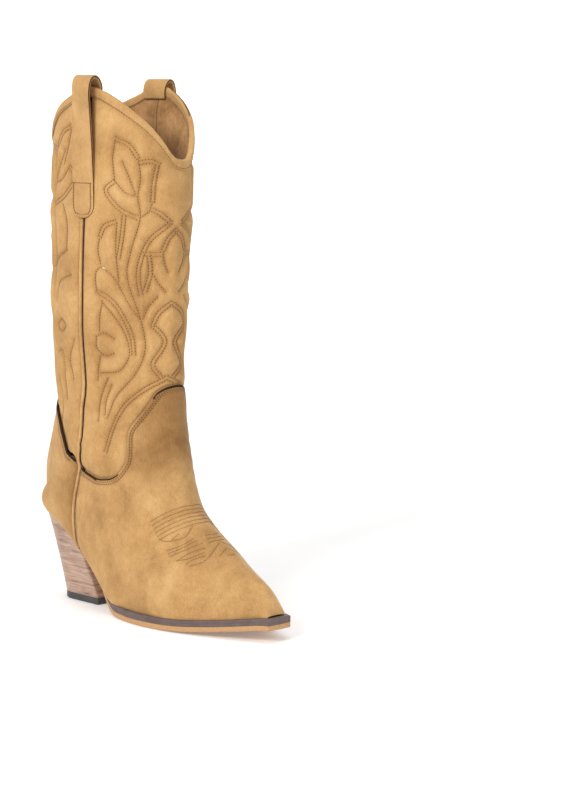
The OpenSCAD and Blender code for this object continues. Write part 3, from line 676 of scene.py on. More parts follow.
# The back panel carries the same tulip and vine, and shorter hooks and a ring below; degrees from the back
BACK_PATTERN = [
    ("2", [(69, 380), (58, 375), (50, 365)]),
    ("1", [(50, 365), (48, 350), (50, 337)]),
    ("1", [(70, 379), (66, 364), (62, 351)]),
    ("1", [(62, 362), (56, 350), (51, 339)]),
    ("1", [(69, 349), (60, 339), (50, 336)]),
    ("2", [(69, 349), (76, 340), (64, 326), (50, 320)]),
    ("2", [(49, 362), (39, 363), (30, 360)]),
    ("2", [(32, 360), (36, 346), (36, 332)]),
    ("1", [(36, 332), (39, 325), (47, 320)]),
    ("1", [(50, 336), (48, 319), (53, 286), (52, 267), (42, 238), (37, 212), (45, 187), (57, 162),
           (60, 144)]),
    ("2", [(36, 326), (24, 320), (10, 312)]),
    ("2", [(10, 312), (30, 300), (40, 280), (39, 257)]),
    ("2", [(31, 286), (30, 272), (36, 259)]),
    ("1", [(0, 304), (13, 295), (17, 282), (12, 272)]),
    ("1", [(28, 272), (22, 263), (14, 256)]),
    ("2", [(0, 247), (17, 240), (27, 229)]),
    ("2", [(27, 229), (10, 216), (24, 198), (8, 184)]),
    ("2", [(0, 180), (20, 173), (38, 157), (49, 135)]),
    ("1", [(70, 284), (59, 279), (48, 270)]),
    ("1", [(75, 265), (58, 258), (52, 243)]),
    ("1", [(61, 229), (67, 224), (60, 219), (53, 224), (61, 229)]),
    ("1", [(50, 202), (60, 203), (61, 182), (64, 165)]),
    ("1", [(63, 319), (69, 305), (69, 284)]),
    ("1", [(78, 214), (71, 198), (74, 182)]),
]
ROW_GAP, THREAD_LIFT = 1.5, .04


def settle(line, normal, tree, depths):
    """Lays a row of points, given on the bare skin, on the displaced leather under it."""
    depths = depths.ravel()
    out = np.empty(len(line))
    for i, p in enumerate(line):
        near = tree.find_n(p, 4)
        w = np.array([1 / (q[2] + .05) for q in near])
        out[i] = (w * depths[[q[1] for q in near]]).sum() / w.sum()
    return line + normal * (out + THREAD_LIFT)[:, None]


def pattern_rows(pattern, place, d):
    """Every stitched row of a half pattern and its mirror: (points, normals) in boot millimetres."""
    rows = []
    for kind, points in pattern:
        smooth = catmull(points)
        for sg in (1, -1):
            hz = np.stack([place(sg, smooth[:, 0], smooth[:, 1]), smooth[:, 1]], -1)
            line, n, th = surface_line(hz, d)
            if kind == "2":
                rows += [(beside(line, n, ROW_GAP), n, th), (beside(line, n, -ROW_GAP), n, th)]
            else:
                rows.append((line, n, th))
    return rows


def lumps(p, wave, seed):
    """Slow, smooth unevenness of hand-lasted leather, between -1 and 1."""
    rng = np.random.default_rng(seed)
    out = np.zeros(p.shape[:-1])
    for _ in range(7):
        k = rng.normal(size=3)
        k *= rng.uniform(.7, 1.5) * 2 * np.pi / wave / np.linalg.norm(k)
        out += np.sin(p @ k + rng.uniform(0, 2 * np.pi))
    return out / 4.0


# ------------------------------------------------------------------ shaft panels
VALLEY, PUFF = -1.3, 3.0
TOP_DROP = 1.0
FRONT_SLOT, BACK_SLOT = 1.9, 1.15


def front_place(sg, h, z):
    c = np.interp(z, *CENTRE)
    return h if sg > 0 else c - (h - c) * (93 + c) / (93 - c)


def back_place(sg, h, z):
    t = loop_at(z, 180 - h)
    return sg * (180 - h * (180 - seam_angle(t)) / 87.0)


def panel_grid(front, rows, cols, lap, drop, slot_deg):
    if front:
        c = np.linspace(-93, 93, cols)
        base, h_ref = np.abs(c), c
        t0 = vamp_edge(base) - lap
    else:
        c = np.linspace(-1, 1, cols)
        base = 180 - np.abs(c) * 87
        h_ref = np.where(c < 0, base, -base)
        t0 = counter_edge(base) - lap
    t1 = loop_at(top_line(base) - drop, h_ref)
    v = np.linspace(0, 1, rows)[:, None]
    t = t0[None] + (t1 - t0)[None] * v
    if front:
        h = c[None] / 93 * (seam_angle(t) - slot_deg)
    else:
        h = np.where(c[None] < 0, 1, -1) * (180 - np.abs(c[None]) * (180 - seam_angle(t) - slot_deg))
    return t, h


def edge_line(front):
    rear = [np.linspace(93, 180, 200), np.linspace(-180, -93, 200)]
    h = np.linspace(-93, 93, 400) if front else np.concatenate(rear)
    t = vamp_edge(h) if front else counter_edge(h)
    return skin(t, h, 0.0)


def seam_line(sg):
    t = np.linspace(11.0, 21.6, 420)
    return skin(t, sg * seam_angle(t), 0.0)


def rim_line(drop):
    h = np.linspace(-180, 180, 721)
    return skin(loop_at(top_line(h) - drop, h), h, 0.0)


def shaft_panel(front):
    rows, cols = ((300, 270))
    t, h = panel_grid(front, rows, cols, .5, TOP_DROP, FRONT_SLOT if front else BACK_SLOT)
    base, n = skin(t, h), skin_normal(t, h)
    rows = pattern_rows(HALF_PATTERN if front else BACK_PATTERN, front_place if front else back_place, VALLEY)
    edge = edge_line(front)
    keep = []
    lap_tree = tree_of(edge)
    for line, nn, th in rows:
        above = th[:, 0] > (vamp_edge(th[:, 1]) if front else counter_edge(th[:, 1])) + .06
        far = distance(lap_tree, line) > 2.2
        ok = above & far
        if ok.sum() > 6:
            cut = np.flatnonzero(np.diff(ok.astype(int)))
            parts = np.split(np.arange(len(ok)), cut + 1)
            keep += [(line[p], nn[p]) for p in parts if ok[p[0]] and len(p) > 6]
    stitched = tree_of(np.vstack([r[0] - r[1] * VALLEY for r in keep]))
    d_row = distance(stitched, base)
    d_edge = distance(lap_tree, base)
    limit = vamp_edge(h) if front else counter_edge(h)
    under = t < limit
    d_seam = distance(tree_of(np.vstack([seam_line(1), seam_line(-1)])), base)
    d_top = distance(tree_of(rim_line(0)), base)
    d_top = np.maximum(d_top - 6, 0)
    d_bound = np.minimum(d_top * .8 + 1.6, np.minimum(d_seam * .8, np.where(under, 0, d_edge * .9)))
    d_min = np.minimum(d_row, d_bound)
    disp = VALLEY + PUFF * (1 - np.exp(-(np.maximum(d_min - .45, 0) / 3.9) ** 1.1))
    disp += lumps(base, 46, 3 if front else 4) * .25 * smooth_step(d_row / 8)
    rim = smooth_step((20 - distance(tree_of(rim_line(0)), base)) / 20)
    disp = disp * (1 - rim) + rim * np.minimum(disp, .1)
    disp = np.where(under, -.75, disp)
    seam_dip = np.exp(-((d_seam - 1.2) / 1.5) ** 2) * .6
    disp -= seam_dip
    # Painted shade: darker in the stitch valleys, along the side seams, under the vamp's lap and beside its
    # edge.
    painted_shade = np.clip(1.0 - d_row / 3.0, 0, 1) ** 1.3 * .6 + np.clip(1 - d_seam / 4.0, 0, 1) * .8
    painted_shade += np.where(under, .3, np.clip(1 - d_edge / 2.5, 0, 1) * .6)
    outer = base + n * disp[..., None]
    inner = base + n * (disp - 1.0)[..., None]
    name = "shaft_front_panel" if front else "shaft_back_panel"
    # The panel's rims take the seam_shadow colour, painted shadow in the gaps at its edges.
    shell(name + "_quilted", name, outer, inner, [suede_shaft, seam_shadow], rim_mat=1,
          attrs={"painted_shade": np.clip(painted_shade, 0, 1)})
    k = 3
    foam_out = (base + n * (disp - 1.2)[..., None])[::k, ::k]
    pinch = np.clip(np.minimum(d_top / 12, 1), .12, 1)[..., None]
    foam_in = (base + n * (-1.5 - 2.9 * pinch))[::k, ::k]
    foam_node = name.replace("panel", "foam")
    foam = shell(foam_node + "_padding", foam_node, foam_out, foam_in, [foam_mat])
    thread = Thread()
    ground = tree_of(base.reshape(-1, 3))
    for line, nn in keep:
        thread.along(settle(line - nn * VALLEY, nn, ground, disp), nn)
    thread.build(name + "_stitching", thread_mat)


shaft_panel(True)
shaft_panel(False)


# ------------------------------------------------------------------ vamp and heel counter
FOOT_TOP, FOOT_LOW = 1.4, 0.02
# Creases over the instep: loop, depth, degrees from the ridge, spread in degrees
CREASES = ((9.55, .55, 30, 38), (9.95, .45, 24, 30), (10.35, .5, 34, 26), (9.1, .3, 40, 30))


def cut_edge(ob, edge_tree, reach):
    """Paints the cut edge of a leather piece with the raw-edge material."""
    me = ob.data
    co = np.empty(len(me.polygons) * 3)
    me.polygons.foreach_get("center", co)
    near = distance(edge_tree, co.reshape(-1, 3)) < reach
    me.polygons.foreach_set("material_index", near.astype(np.int32))


def edge_round(dist, r=.9):
    """How far a cut edge drops at this distance from it, for a radius r."""
    x = np.clip(dist / r, 0, 1)
    return r * (1 - np.sqrt(np.clip(1 - (1 - x) ** 2, 0, 1)))


def packed(n, edge=.004, count=3):
    """Row positions from 0 to 1, closer together at the last edge."""
    v = np.linspace(0, 1 - edge * count, n - count)
    return np.concatenate([v, 1 - edge * np.arange(count - 1, -1, -1) * .9])


def vamp_piece():
    n_c, n_r = ((300, 230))
    h_dense = np.linspace(0, 180, 1500)
    top = skin(vamp_edge(h_dense), h_dense)
    arc = travel(top)
    arc = .72 * arc / arc[-1] + .28 * h_dense / 180
    half = np.interp(np.linspace(0, 1, n_c // 2), arc, h_dense)
    h_top = np.concatenate([-half[:0:-1], half])
    h_low = np.linspace(-180, 180, len(h_top))
    v = packed(n_r)[:, None]
    mix = v ** 1.5
    h = h_low[None] * (1 - mix) + h_top[None] * mix
    end = vamp_edge(h_top) - np.where(np.abs(h_top) > 93, np.interp(np.abs(h_top), [93, 180], [.115, .06]), 0)
    t = .02 + (end[None] - .02) * v
    base, n = skin(t, h), skin_normal(t, h)
    edge_h = np.linspace(-93, 93, 500)
    edge_tree = tree_of(skin(vamp_edge(edge_h), edge_h))
    rear = np.concatenate([np.linspace(93, 180, 200), -np.linspace(93, 180, 200)])
    rear_tree = tree_of(skin(vamp_edge(rear) - .09, rear))
    d_edge, d_rear = distance(edge_tree, base), distance(rear_tree, base)
    d_med = distance(tree_of(np.vstack([m[0] for m in medallion_rows])), base)
    disp = FOOT_TOP + lumps(base, 60, 11) * .45 * smooth_step(d_edge / 12)
    disp -= edge_round(d_edge, .8)
    disp -= .25 * np.exp(-((d_edge - 4.0) / 1.6) ** 2) + .10 * np.exp(-((d_edge - 1.9) / .8) ** 2)
    disp -= .9 * np.exp(-(d_rear / 1.3) ** 2)
    disp -= .30 * np.exp(-(d_med / 1.0) ** 2)
    crease = sum(np.exp(-((t - tc) / .16) ** 2) * a * np.exp(-((np.abs(h) - hc) / hw) ** 2)
                 for tc, a, hc, hw in CREASES)
    disp -= crease * smooth_step(d_edge / 8)
    outer, inner = base + n * disp[..., None], base + n * FOOT_LOW
    tucks = []
    for sg, col in ((-1, 0), (1, -1)):
        g = section(t[:, col])
        grow = smooth_step((t[:, col] - 9.0) / .7)
        outs, ins = [], []
        for e in (0.9, 2.2, 4.5, 8.0):
            reach = np.minimum(1.2 + (e - 1.2) * grow if e > 1.2 else e * np.ones(len(grow)), g[:, 4] * .6)
            s_, a_ = g[:, 2], g[:, 8] + sg * (g[:, 4] - reach)
            outs.append(turned(s_, a_ + sg * .7, g[:, 3] - .35 - .55 * grow))
            ins.append(turned(s_, a_, g[:, 3] + .15))
        tucks.append((np.stack(outs, 1), np.stack(ins, 1)))
    (lo_out, lo_in), (hi_out, hi_in) = tucks
    outer = np.concatenate([lo_out[:, ::-1], outer, hi_out], 1)
    inner = np.concatenate([lo_in[:, ::-1], inner, hi_in], 1)
    # Painted shade: darker at the toe stitching, beside the edge stitching, at the back seam, in the instep
    # creases and on the tucks under the sole (the .8 pads).
    painted_shade_amount = np.clip(1 - d_med / 1.6, 0, 1) * .3 + np.exp(-((d_edge - 3.0) / 2.0) ** 2) * .35
    painted_shade_amount += np.clip(1 - d_rear / 3.0, 0, 1) * .8 + np.clip(crease, 0, 1) * .3
    # This line darkens the instep near the ridge, from loop 8.6 up.
    painted_shade_amount += .85 * smooth_step((t - 8.6) / 1.5) * np.exp(-((h - 4) / 46.0) ** 2)
    pad = np.zeros((len(v), 4))
    painted_shade_amount = np.concatenate([pad + .8, np.clip(painted_shade_amount, 0, 1), pad + .8], 1)
    ob = shell("vamp_suede", "vamp", outer, inner, [suede_vamp, raw_edge], rim_mat=1,
               attrs={"painted_shade": painted_shade_amount})
    low_h = np.linspace(-93, 93, 900)
    low_h = low_h[(np.abs(low_h) < 27) | (np.abs(low_h) > 66)]
    low_n = skin_normal(vamp_edge(low_h), low_h)
    cut_edge(ob, tree_of(to_row(skin(vamp_edge(low_h), low_h) + low_n * FOOT_TOP)), .00135)
    thread = Thread(.24, 1.5, .7)
    for inset in (2.1, 4.1):
        line, nn = inset_row(vamp_edge, edge_h, inset, FOOT_TOP - .12)
        thread.along(line, nn)
    thread.build("vamp_edge_stitching", thread_mat)
    med = Thread(.19, 1.35, .8, .33)
    ground = tree_of(base.reshape(-1, 3))
    for line, nn in medallion_rows:
        med.along(settle(line, nn, ground, disp), nn)
    med.build("toe_medallion_stitching", thread_dark)


def inset_row(edge, h, inset, d):
    """A row that keeps a distance below an edge given as a loop by angle."""
    p, n = skin(edge(h), h), skin_normal(edge(h), h)
    tan = np.gradient(p, axis=0)
    tan = unit(tan)
    b = np.cross(n, tan)
    b *= np.sign((b @ np.array([0, 0, -1.0])).sum())
    line = p + b * inset + n * d
    keep = [0]
    for i in range(1, len(line)):
        if np.dot(line[i] - line[keep[-1]], tan[i]) > .35:
            keep.append(i)
    line, n = line[keep], n[keep]
    relax(line, 3)
    return line, n


# The toe stitching, as (degrees from the ridge, loop). Rows over the ridge run on to their own mirror:
# a band of six that rise to the sides, three short ones below it, and the cap of the lower leaf.
BAND_ROW = [(0, 0), (12, .08), (27, .26), (47, .62)]
TOE_ACROSS = [[(h, 7.7 - .15 * k + rise) for h, rise in BAND_ROW[::-1]] for k in range(6)]
TOE_ACROSS += [[(11 + 2 * k, 6.45 - .15 * k), (6, 6.4 - .15 * k), (0, 6.35 - .15 * k)] for k in range(3)]
TOE_ACROSS += [[(18, 5.55), (9, 5.6), (0, 5.65)], [(9, 5.4), (0, 5.35)]]
# Each side has a fan of rows that open from the band's end
TOE_SIDES = [
    [(47, 7.6), (45, 7.4), (41, 7.2)],
    [(41, 7.2), (29, 6.9), (17, 7)],
    [(41, 7.2), (32, 7.15)],
    [(48, 7.1), (37, 6.8), (25, 6.65)],
    [(49, 7), (37, 6.7), (23, 6.5)],
    [(50, 6.9), (36, 6.55), (22, 6.3)],
    [(49, 6.6), (38, 6.4), (24, 6.1)],
    [(49, 6.6), (40, 6.25), (28, 6)],
    [(46, 6.25), (38, 6.1), (30, 5.9)],
    [(46, 6.1), (35, 5.8), (22, 5.8), (4, 5.95)],
]


def make_medallion():
    """Fanned rows of stitching over the toe: one band over the ridge, and a leaf on each side."""
    rows = []
    for points in TOE_ACROSS:
        rows.append(points + [(-h, t) for h, t in points[-2::-1]])
    for points in TOE_SIDES:
        rows += [points, [(-h, t) for h, t in points]]
    out = []
    for points in rows:
        p, n, _ = surface_line(catmull(np.array(points, float), .1), 0.0, by_height=False, step=.7)
        out.append((p, n))
    return out


medallion_rows = make_medallion()
vamp_piece()


def heel_patch(cols, v, drop, ease):
    """Loops and angles of a grid over the heel, drop below the counter's edge, ease past the side seam."""
    u = np.linspace(-1, 1, cols)
    k = np.abs(u)
    h1 = 180 - 87 * k
    h = 180 + (h1[None] - 180) * v
    t0, t1 = HEEL_REAR + (BREAST - HEEL_REAR) * k, counter_edge(h1) - drop * np.minimum(1, 4 * (1 - k))
    bend = vamp_edge(180 - 87 * v) - (BREAST + (11.8 - BREAST) * v) + ease
    t = t0[None] + (t1 - t0)[None] * v + k[None] ** 2 * bend
    return t, np.where(u[None] < 0, h, -h)


def counter_piece():
    cols, n_r = ((180, 110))
    v = packed(n_r)[:, None]
    k = np.abs(np.linspace(-1, 1, cols))
    t, h = heel_patch(cols, v, 0, np.interp(180 - 87 * v, [93, 180], [.09, .05]))
    base, n = skin(t, h), skin_normal(t, h)
    top_h = np.linspace(93.5, 180, 260)
    both = np.concatenate([top_h, -top_h])
    edge_tree = tree_of(skin(counter_edge(both), both))
    d_edge = distance(edge_tree, base)
    d_seam = (1 - k[None]) * np.linalg.norm(base[:, 0] - base[:, -1], axis=-1)[:, None] * .75
    disp = FOOT_TOP + lumps(base, 50, 21) * .35 * smooth_step(d_edge / 10) - edge_round(d_edge, .8)
    disp = disp - .22 * np.exp(-((d_edge - 4.0) / 1.6) ** 2) - .5 * np.exp(-(d_seam / 1.2) ** 2)
    bottom = np.linalg.norm(base - base[:1], axis=-1)
    disp = disp - edge_round(bottom, 1.0) * .9
    # Painted shade: darker beside the edge stitching, along the back seam and at the foot of the counter by
    # the welt.
    painted_shade_amount = np.exp(-((d_edge - 3.0) / 2.0) ** 2) * .35 + np.clip(1 - d_seam / 3, 0, 1) * .6
    painted_shade_amount += np.clip(1 - bottom / 2.5, 0, 1) * .8
    ob = shell("heel_counter_suede", "heel_counter", base + n * disp[..., None], base + n * FOOT_LOW,
               [suede_counter, raw_edge], rim_mat=1, attrs={"painted_shade": np.clip(painted_shade_amount, 0, 1)})
    lifted = skin(counter_edge(both), both) + skin_normal(counter_edge(both), both) * FOOT_TOP
    cut_edge(ob, tree_of(to_row(lifted)), .0013)
    thread = Thread(.24, 1.5, .7)
    for sg in (1, -1):
        for inset in (2.2, 4.0):
            line, nn = inset_row(counter_edge, sg * np.linspace(96, 180, 300), inset, FOOT_TOP - .12)
            thread.along(line, nn)
    thread.build("counter_edge_stitching", thread_mat)


counter_piece()


# ------------------------------------------------------------------ side piping
def piping(sg, name):
    t_top = loop_at(309.5, 91.0)
    t = np.linspace(t_top, 11.8, 170)
    h = sg * seam_angle(t)
    h2 = np.linspace(93.6, 181, 90)
    t = np.concatenate([t, vamp_edge(np.minimum(h2, 180))])
    h = np.concatenate([h, sg * h2])
    n = skin_normal(t, h)
    drop = smooth_step((np.arange(len(t)) - 150) / 40)
    line = skin(t, h) + n * (.15 + .75 * drop)[:, None]
    relax(line, 6)
    wobble = 1.22 + .05 * np.sin(np.arange(len(t)) * 1.7) + .04 * np.sin(np.arange(len(t)) * .61)
    ob = tube(name, to_row(line), row_normal(n), wobble / 1000, 14, [suede_piping])
    belongs(ob, name.replace("_cord", ""))
    # A dark strip under the piping and round the heel seam: painted shadow for the gap of the seam.
    t_leg = np.linspace(loop_at(402.0, 95.0), 11.8, 200)
    t_all = np.concatenate([t_leg, vamp_edge(np.linspace(94, 180, 80))])
    h_all = sg * np.concatenate([seam_angle(t_leg), np.linspace(94, 180, 80)])
    c, nn = skin(t_all, h_all), skin_normal(t_all, h_all)
    relax(c, 4)
    strip = np.stack([beside(c, nn, w) for w in (-3.2, -1.6, 0, 1.6, 3.2)], 1)
    depth = np.where(np.arange(len(t_all)) < 195, -1.5, -.45)[:, None, None]
    shell(name.replace("piping", "shadow_strip").replace("_cord", ""), None,
          strip + nn[:, None] * (depth + .25), strip + nn[:, None] * depth, [seam_shadow])


piping(1, "side_piping_lateral_cord")
piping(-1, "side_piping_medial_cord")


# ------------------------------------------------------------------ linings and rolled top edge
def lining(front):
    t, h = panel_grid(front, 110, 120, -.1, 1.5, .3)
    base, n = skin(t, h), skin_normal(t, h)
    d_top = distance(tree_of(rim_line(0)), base)
    d = -4.5 + 3.0 * (1 - smooth_step(d_top / 22))
    d = d + lumps(base, 30, 31) * .35
    name = "shaft_front_lining" if front else "shaft_back_lining"
    shell(name + "_microfibre", name, base + n * d[..., None], base + n * (d - .8)[..., None],
          [lining_suede])


lining(True)
lining(False)

RIM_OUT, RIM_IN = 1.05, -3.3


def binding():
    h = np.linspace(-180, 180, 481)[:-1]
    profile = [(-6.0, .15), (-6.0, .75), (-5.6, .98), (-4.8, RIM_OUT), (-2.5, RIM_OUT), (-.6, RIM_OUT)]
    a = np.linspace(0, np.pi, 13)[1:-1]
    half = (RIM_OUT - RIM_IN) / 2
    profile += [(-.3 + half * .95 * np.sin(x), (RIM_OUT + RIM_IN) / 2 + half * np.cos(x)) for x in a]
    profile += [(-.6, RIM_IN), (-2.5, RIM_IN), (-5.2, RIM_IN), (-5.9, RIM_IN + .3), (-6.0, RIM_IN + .8),
                (-5.5, RIM_IN + 1.0), (-.8, RIM_IN + 1.05), (-.8, .05), (-5.5, .05)]
    rings = np.stack([skin(loop_at(top_line(h) + z, h), h, d) for z, d in profile], 1)
    for _ in range(2):
        rings = (np.roll(rings, 1, 0) + 2 * rings + np.roll(rings, -1, 0)) / 4
    ob = sweep("top_binding_rolled", to_row(rings), [suede_trim], endless=True)
    belongs(ob, "top_binding")
    thread = Thread(.26, 1.7, .8)
    for drop, d in ((5.0, RIM_OUT + .03), (5.0, RIM_IN - .03)):
        hh = np.linspace(-180, 180, 721)
        t = loop_at(top_line(hh) - drop, hh)
        n = skin_normal(t, hh)
        thread.along(skin(t, hh) + n * d, n if d > 0 else -n)
    thread.build("top_binding_stitching", thread_dark)


binding()

# ------------------------------------------------------------------ pull straps
STRAP_W, STRAP_T, STRAP_ANGLE, STRAP_LOOP = 22.0, 2.6, 90.0, 19.0
STRAP_TIP, STRAP_INSET, STRAP_STITCH_Z = 10.5, 2.0, 336.5
# The strap's middle line from its outer tip over the rim: (height, distance out of the skin)
STRAP_ROUTE = np.array([
    (310, 1.6), (318, 1.7), (326, 1.85), (336, 2.05), (350, 2.8), (370, 4.0), (390, 5.2), (402, 6.0),
    (410.5, 6.2), (416.2, 4.4), (418.2, 1.0), (417, -2.4), (413, -4.9), (408.5, -5.6), (404, -5.2)])


def strap(sg, name, lower, turn):
    route = catmull(STRAP_ROUTE, .1)
    route[:, 0] -= lower * smooth_step((route[:, 0] - 385) / 20)
    loops = loop_at(route[:, 0], STRAP_ANGLE)
    mid = skin(loops, sg * STRAP_ANGLE, 0.0)
    mid = mid + skin_normal(loops, np.full(len(route), sg * STRAP_ANGLE)) * route[:, 1:2]
    over = route[:, 0] > 409 - lower
    mid[over, 2] = route[over, 0]
    mid = resample(mid, .9)
    relax(mid, 4)
    across = skin(STRAP_LOOP, sg * (STRAP_ANGLE - 5)) - skin(STRAP_LOOP, sg * (STRAP_ANGLE + 5))
    across[2] = 0
    across /= np.linalg.norm(across)
    side = np.array([0.0, float(sg), 0.0])
    side -= across * (side @ across)
    side /= np.linalg.norm(side)
    along = travel(mid)
    twist = np.radians(np.interp(along, [16, 55, 95, 108, 122], [0, turn * .45, turn, turn * .7, 0]))[:, None]
    across = across * np.cos(twist) + side * np.sin(twist)
    tan = np.gradient(mid, axis=0)
    tan = unit(tan)
    out = np.cross(tan, across)
    out = unit(out)
    out *= np.sign(out[10] @ side)
    half = STRAP_W / 2
    tip_round = np.sqrt(np.clip(1 - np.maximum(1 - along / STRAP_TIP, 0) ** 2.2, .02, 1))
    width = np.where(along < STRAP_TIP, half * tip_round, half)
    w = np.concatenate([[-1, -.985], np.linspace(-.95, .95, 23), [.985, 1]])
    edge = np.minimum((1 - np.abs(w)) * half, 3)
    crown = STRAP_T / 2 - edge_round(edge, .7)[None] - .18 * np.exp(-((edge[None] - 2.0) / .7) ** 2)
    crown = crown * np.clip(.55 + along / 3, 0, 1)[:, None]
    stitch_at = np.interp(STRAP_STITCH_Z, mid[:int(len(mid) * .6), 2], along[:int(len(mid) * .6)])
    crown = crown - .22 * np.exp(-((along[:, None] - stitch_at) / .8) ** 2)
    centre = mid[:, None] + across[:, None] * (width[:, None] * w[None])[..., None]
    curve = (w[None] ** 2) * .9
    centre = centre - out[:, None] * (curve * np.clip(1 - along / 90, 0, 1)[:, None])[..., None]
    outer = centre + out[:, None] * crown[..., None]
    inner = centre - out[:, None] * crown[..., None]
    shell(name + "_folded", name, outer, inner, [suede_trim, strap_edge_dye_and_shade], rim_mat=1)
    thread = Thread(.24, 1.5, .7)
    lines = []
    q = along < stitch_at
    for side_ in (1, -1):
        k = q & (along > 3.0)
        pts = mid[k] + across[k] * (side_ * (width[k] - STRAP_INSET))[:, None] + out[k] * (STRAP_T / 2 - .14)
        lines.append((pts, out[k]))
    k0 = int(np.flatnonzero(along > 3.0)[0])
    a = np.linspace(-1, 1, 15)
    tip = mid[k0] + np.outer(a * (width[k0] - STRAP_INSET), across[k0]) + out[k0] * (STRAP_T / 2 - .14)
    lines.append((tip - np.outer(np.cos(a * np.pi / 2) * .9, tan[k0]), np.repeat(out[k0:k0 + 1], 15, 0)))
    ks = int(np.argmin(np.abs(along - stitch_at)))
    row = mid[ks] + np.outer(np.linspace(-1, 1, 25) * (half - 1.2), across[ks])
    row = row + out[ks] * (STRAP_T / 2 - .18)
    lines.append((row, np.repeat(out[ks:ks + 1], 25, 0)))
    for pts, nn in lines:
        thread.along(pts, nn)
    thread.build(name + "_stitching", thread_dark)


strap(1, "pull_strap_lateral", 0.0, 14.0)
strap(-1, "pull_strap_medial", 3.5, 6.0)


# ------------------------------------------------------------------ sole
TOE_TIP, BREAST_END = (267.0, 11.3), 66.5
# The outsole's side from its top edge down: (height above the sole edge, inset)
SOLE_PROFILE = ((-5.02, 1.2), (-5.02, .45), (-5.1, .2), (-5.4, .12), (-8.3, .0), (-8.8, .12), (-9.1, .5),
                (-9.2, 1.3))
# Half the outline of the sole: (s, half width)
OUTLINE = [(65, 21.5), (80, 25), (95, 29.5), (108, 34), (122, 38.5), (138, 41.6), (155, 42.8), (172, 41.8),
           (190, 39), (206, 34.6), (222, 29.3), (238, 23), (252, 17), TOE_TIP]
_edge_t = np.arange(HEEL_REAR, -.01, -.1)
_edge = section(_edge_t)


def edge_z(s):
    return np.interp(s, _edge[:, 2], _edge[:, 3])


HEEL = dict(rear_low=24.0, front_low=76.0, rear_top=3.2, front_top=61.0, half_low=19.0, half_top=28.5,
            round_top=32.0, lift=5.5)


def breast_s(z):
    u = (z - HEEL["lift"]) / (edge_z(HEEL["front_top"]) - HEEL["lift"])
    return HEEL["front_low"] + (HEEL["front_top"] - HEEL["front_low"]) * u


def clear_of_heel(s, z):
    """Moves the rear end of a sole's row forward to the heel's breast."""
    return np.where(s < BREAST_END, np.maximum(s, breast_s(z) + .1), s)


def sole_outline():
    """The lateral half of the sole's outline, finely spaced, with sharp corners at the toe."""
    side = catmull(np.array(OUTLINE), .05)
    side = resample(side, 1.6)
    tip = np.stack([np.full(9, TOE_TIP[0]), np.linspace(TOE_TIP[1], 0, 9)], -1)[1:]
    tip[:, 0] += .55 * (1 - (tip[:, 1] / TOE_TIP[1]) ** 2)
    full = np.concatenate([side, tip])
    other = full[::-1][1:].copy()
    other[:, 1] *= -1
    return np.concatenate([full, other])


def outline_normals(line):
    tan = np.gradient(line, axis=0)
    tan = unit(tan)
    return np.stack([tan[:, 1], -tan[:, 0]], -1)


def sole_ring(name, profile, mats, node):
    """A ring of the sole: profile is a closed loop of (inset, height above the sole edge)."""
    line = sole_outline()
    nrm = outline_normals(line)
    rings = []
    for inset, z in profile:
        q = line + nrm * inset
        q[:, 1] = np.where(np.sign(q[:, 1]) == np.sign(line[:, 1]), q[:, 1], 0)
        zz = edge_z(line[:, 0]) + z
        s = clear_of_heel(q[:, 0], zz)
        rings.append(np.stack([s, q[:, 1], zz], -1))
    ob = sweep(name, to_row(np.stack(rings, 1)), mats)
    belongs(ob, node)
    return ob


sole_ring("welt_band", [(.05, -4.95), (0, -4.6), (0, -3.4), (.22, -3.1), (.22, -2.8), (0, -2.5),
                        (0, -.55), (.15, -.2), (.5, 0), (2.5, .02), (5.6, 0), (8.9, 0), (8.9, -5.0),
                        (.4, -5.0)], [welt_mat], "welt")


def outsole_piece():
    line = sole_outline()
    half = len(line) // 2 + 1
    side = line[:half]
    rows = []
    for z, inset in SOLE_PROFILE:
        q = side + outline_normals(line)[:half] * inset
        zz = edge_z(side[:, 0]) + z
        s = clear_of_heel(q[:, 0], zz)
        rows.append(np.stack([s, np.maximum(q[:, 1], 0), zz], -1))
    ring = np.stack(rows, 1)
    inner_top, inner_low = ring[:, 0].copy(), ring[:, -1].copy()
    steps = np.linspace(.92, 0, 14)
    top = np.stack([inner_top * np.array([1, k, 1]) for k in steps[::-1]], 1)
    low = np.stack([inner_low * np.array([1, k, 1]) for k in steps], 1)
    cross = np.concatenate([top, ring, low], 1)
    mirror = cross[:, ::-1].copy()
    mirror[..., 1] *= -1
    loop = np.concatenate([cross, mirror[:, 1:-1]], 1)
    ob = sweep("outsole_plate", to_row(loop), [sole_mat])
    belongs(ob, "outsole")


outsole_piece()


# ------------------------------------------------------------------ heel
WAIST, REAR_CURVE, CORNER_CUT = .9, .8, .25
# The top lift from its worn underside up: (height, inset)
LIFT_PROFILE = ((0.0, 14), (0, 7), (0.0, .6), (.12, .22), (.45, .02), (2.6, 0), (2.75, .12), (2.9, 0),
                (5.1, .02), (5.42, .18), (5.5, .5), (5.5, 7), (5.5, 14))


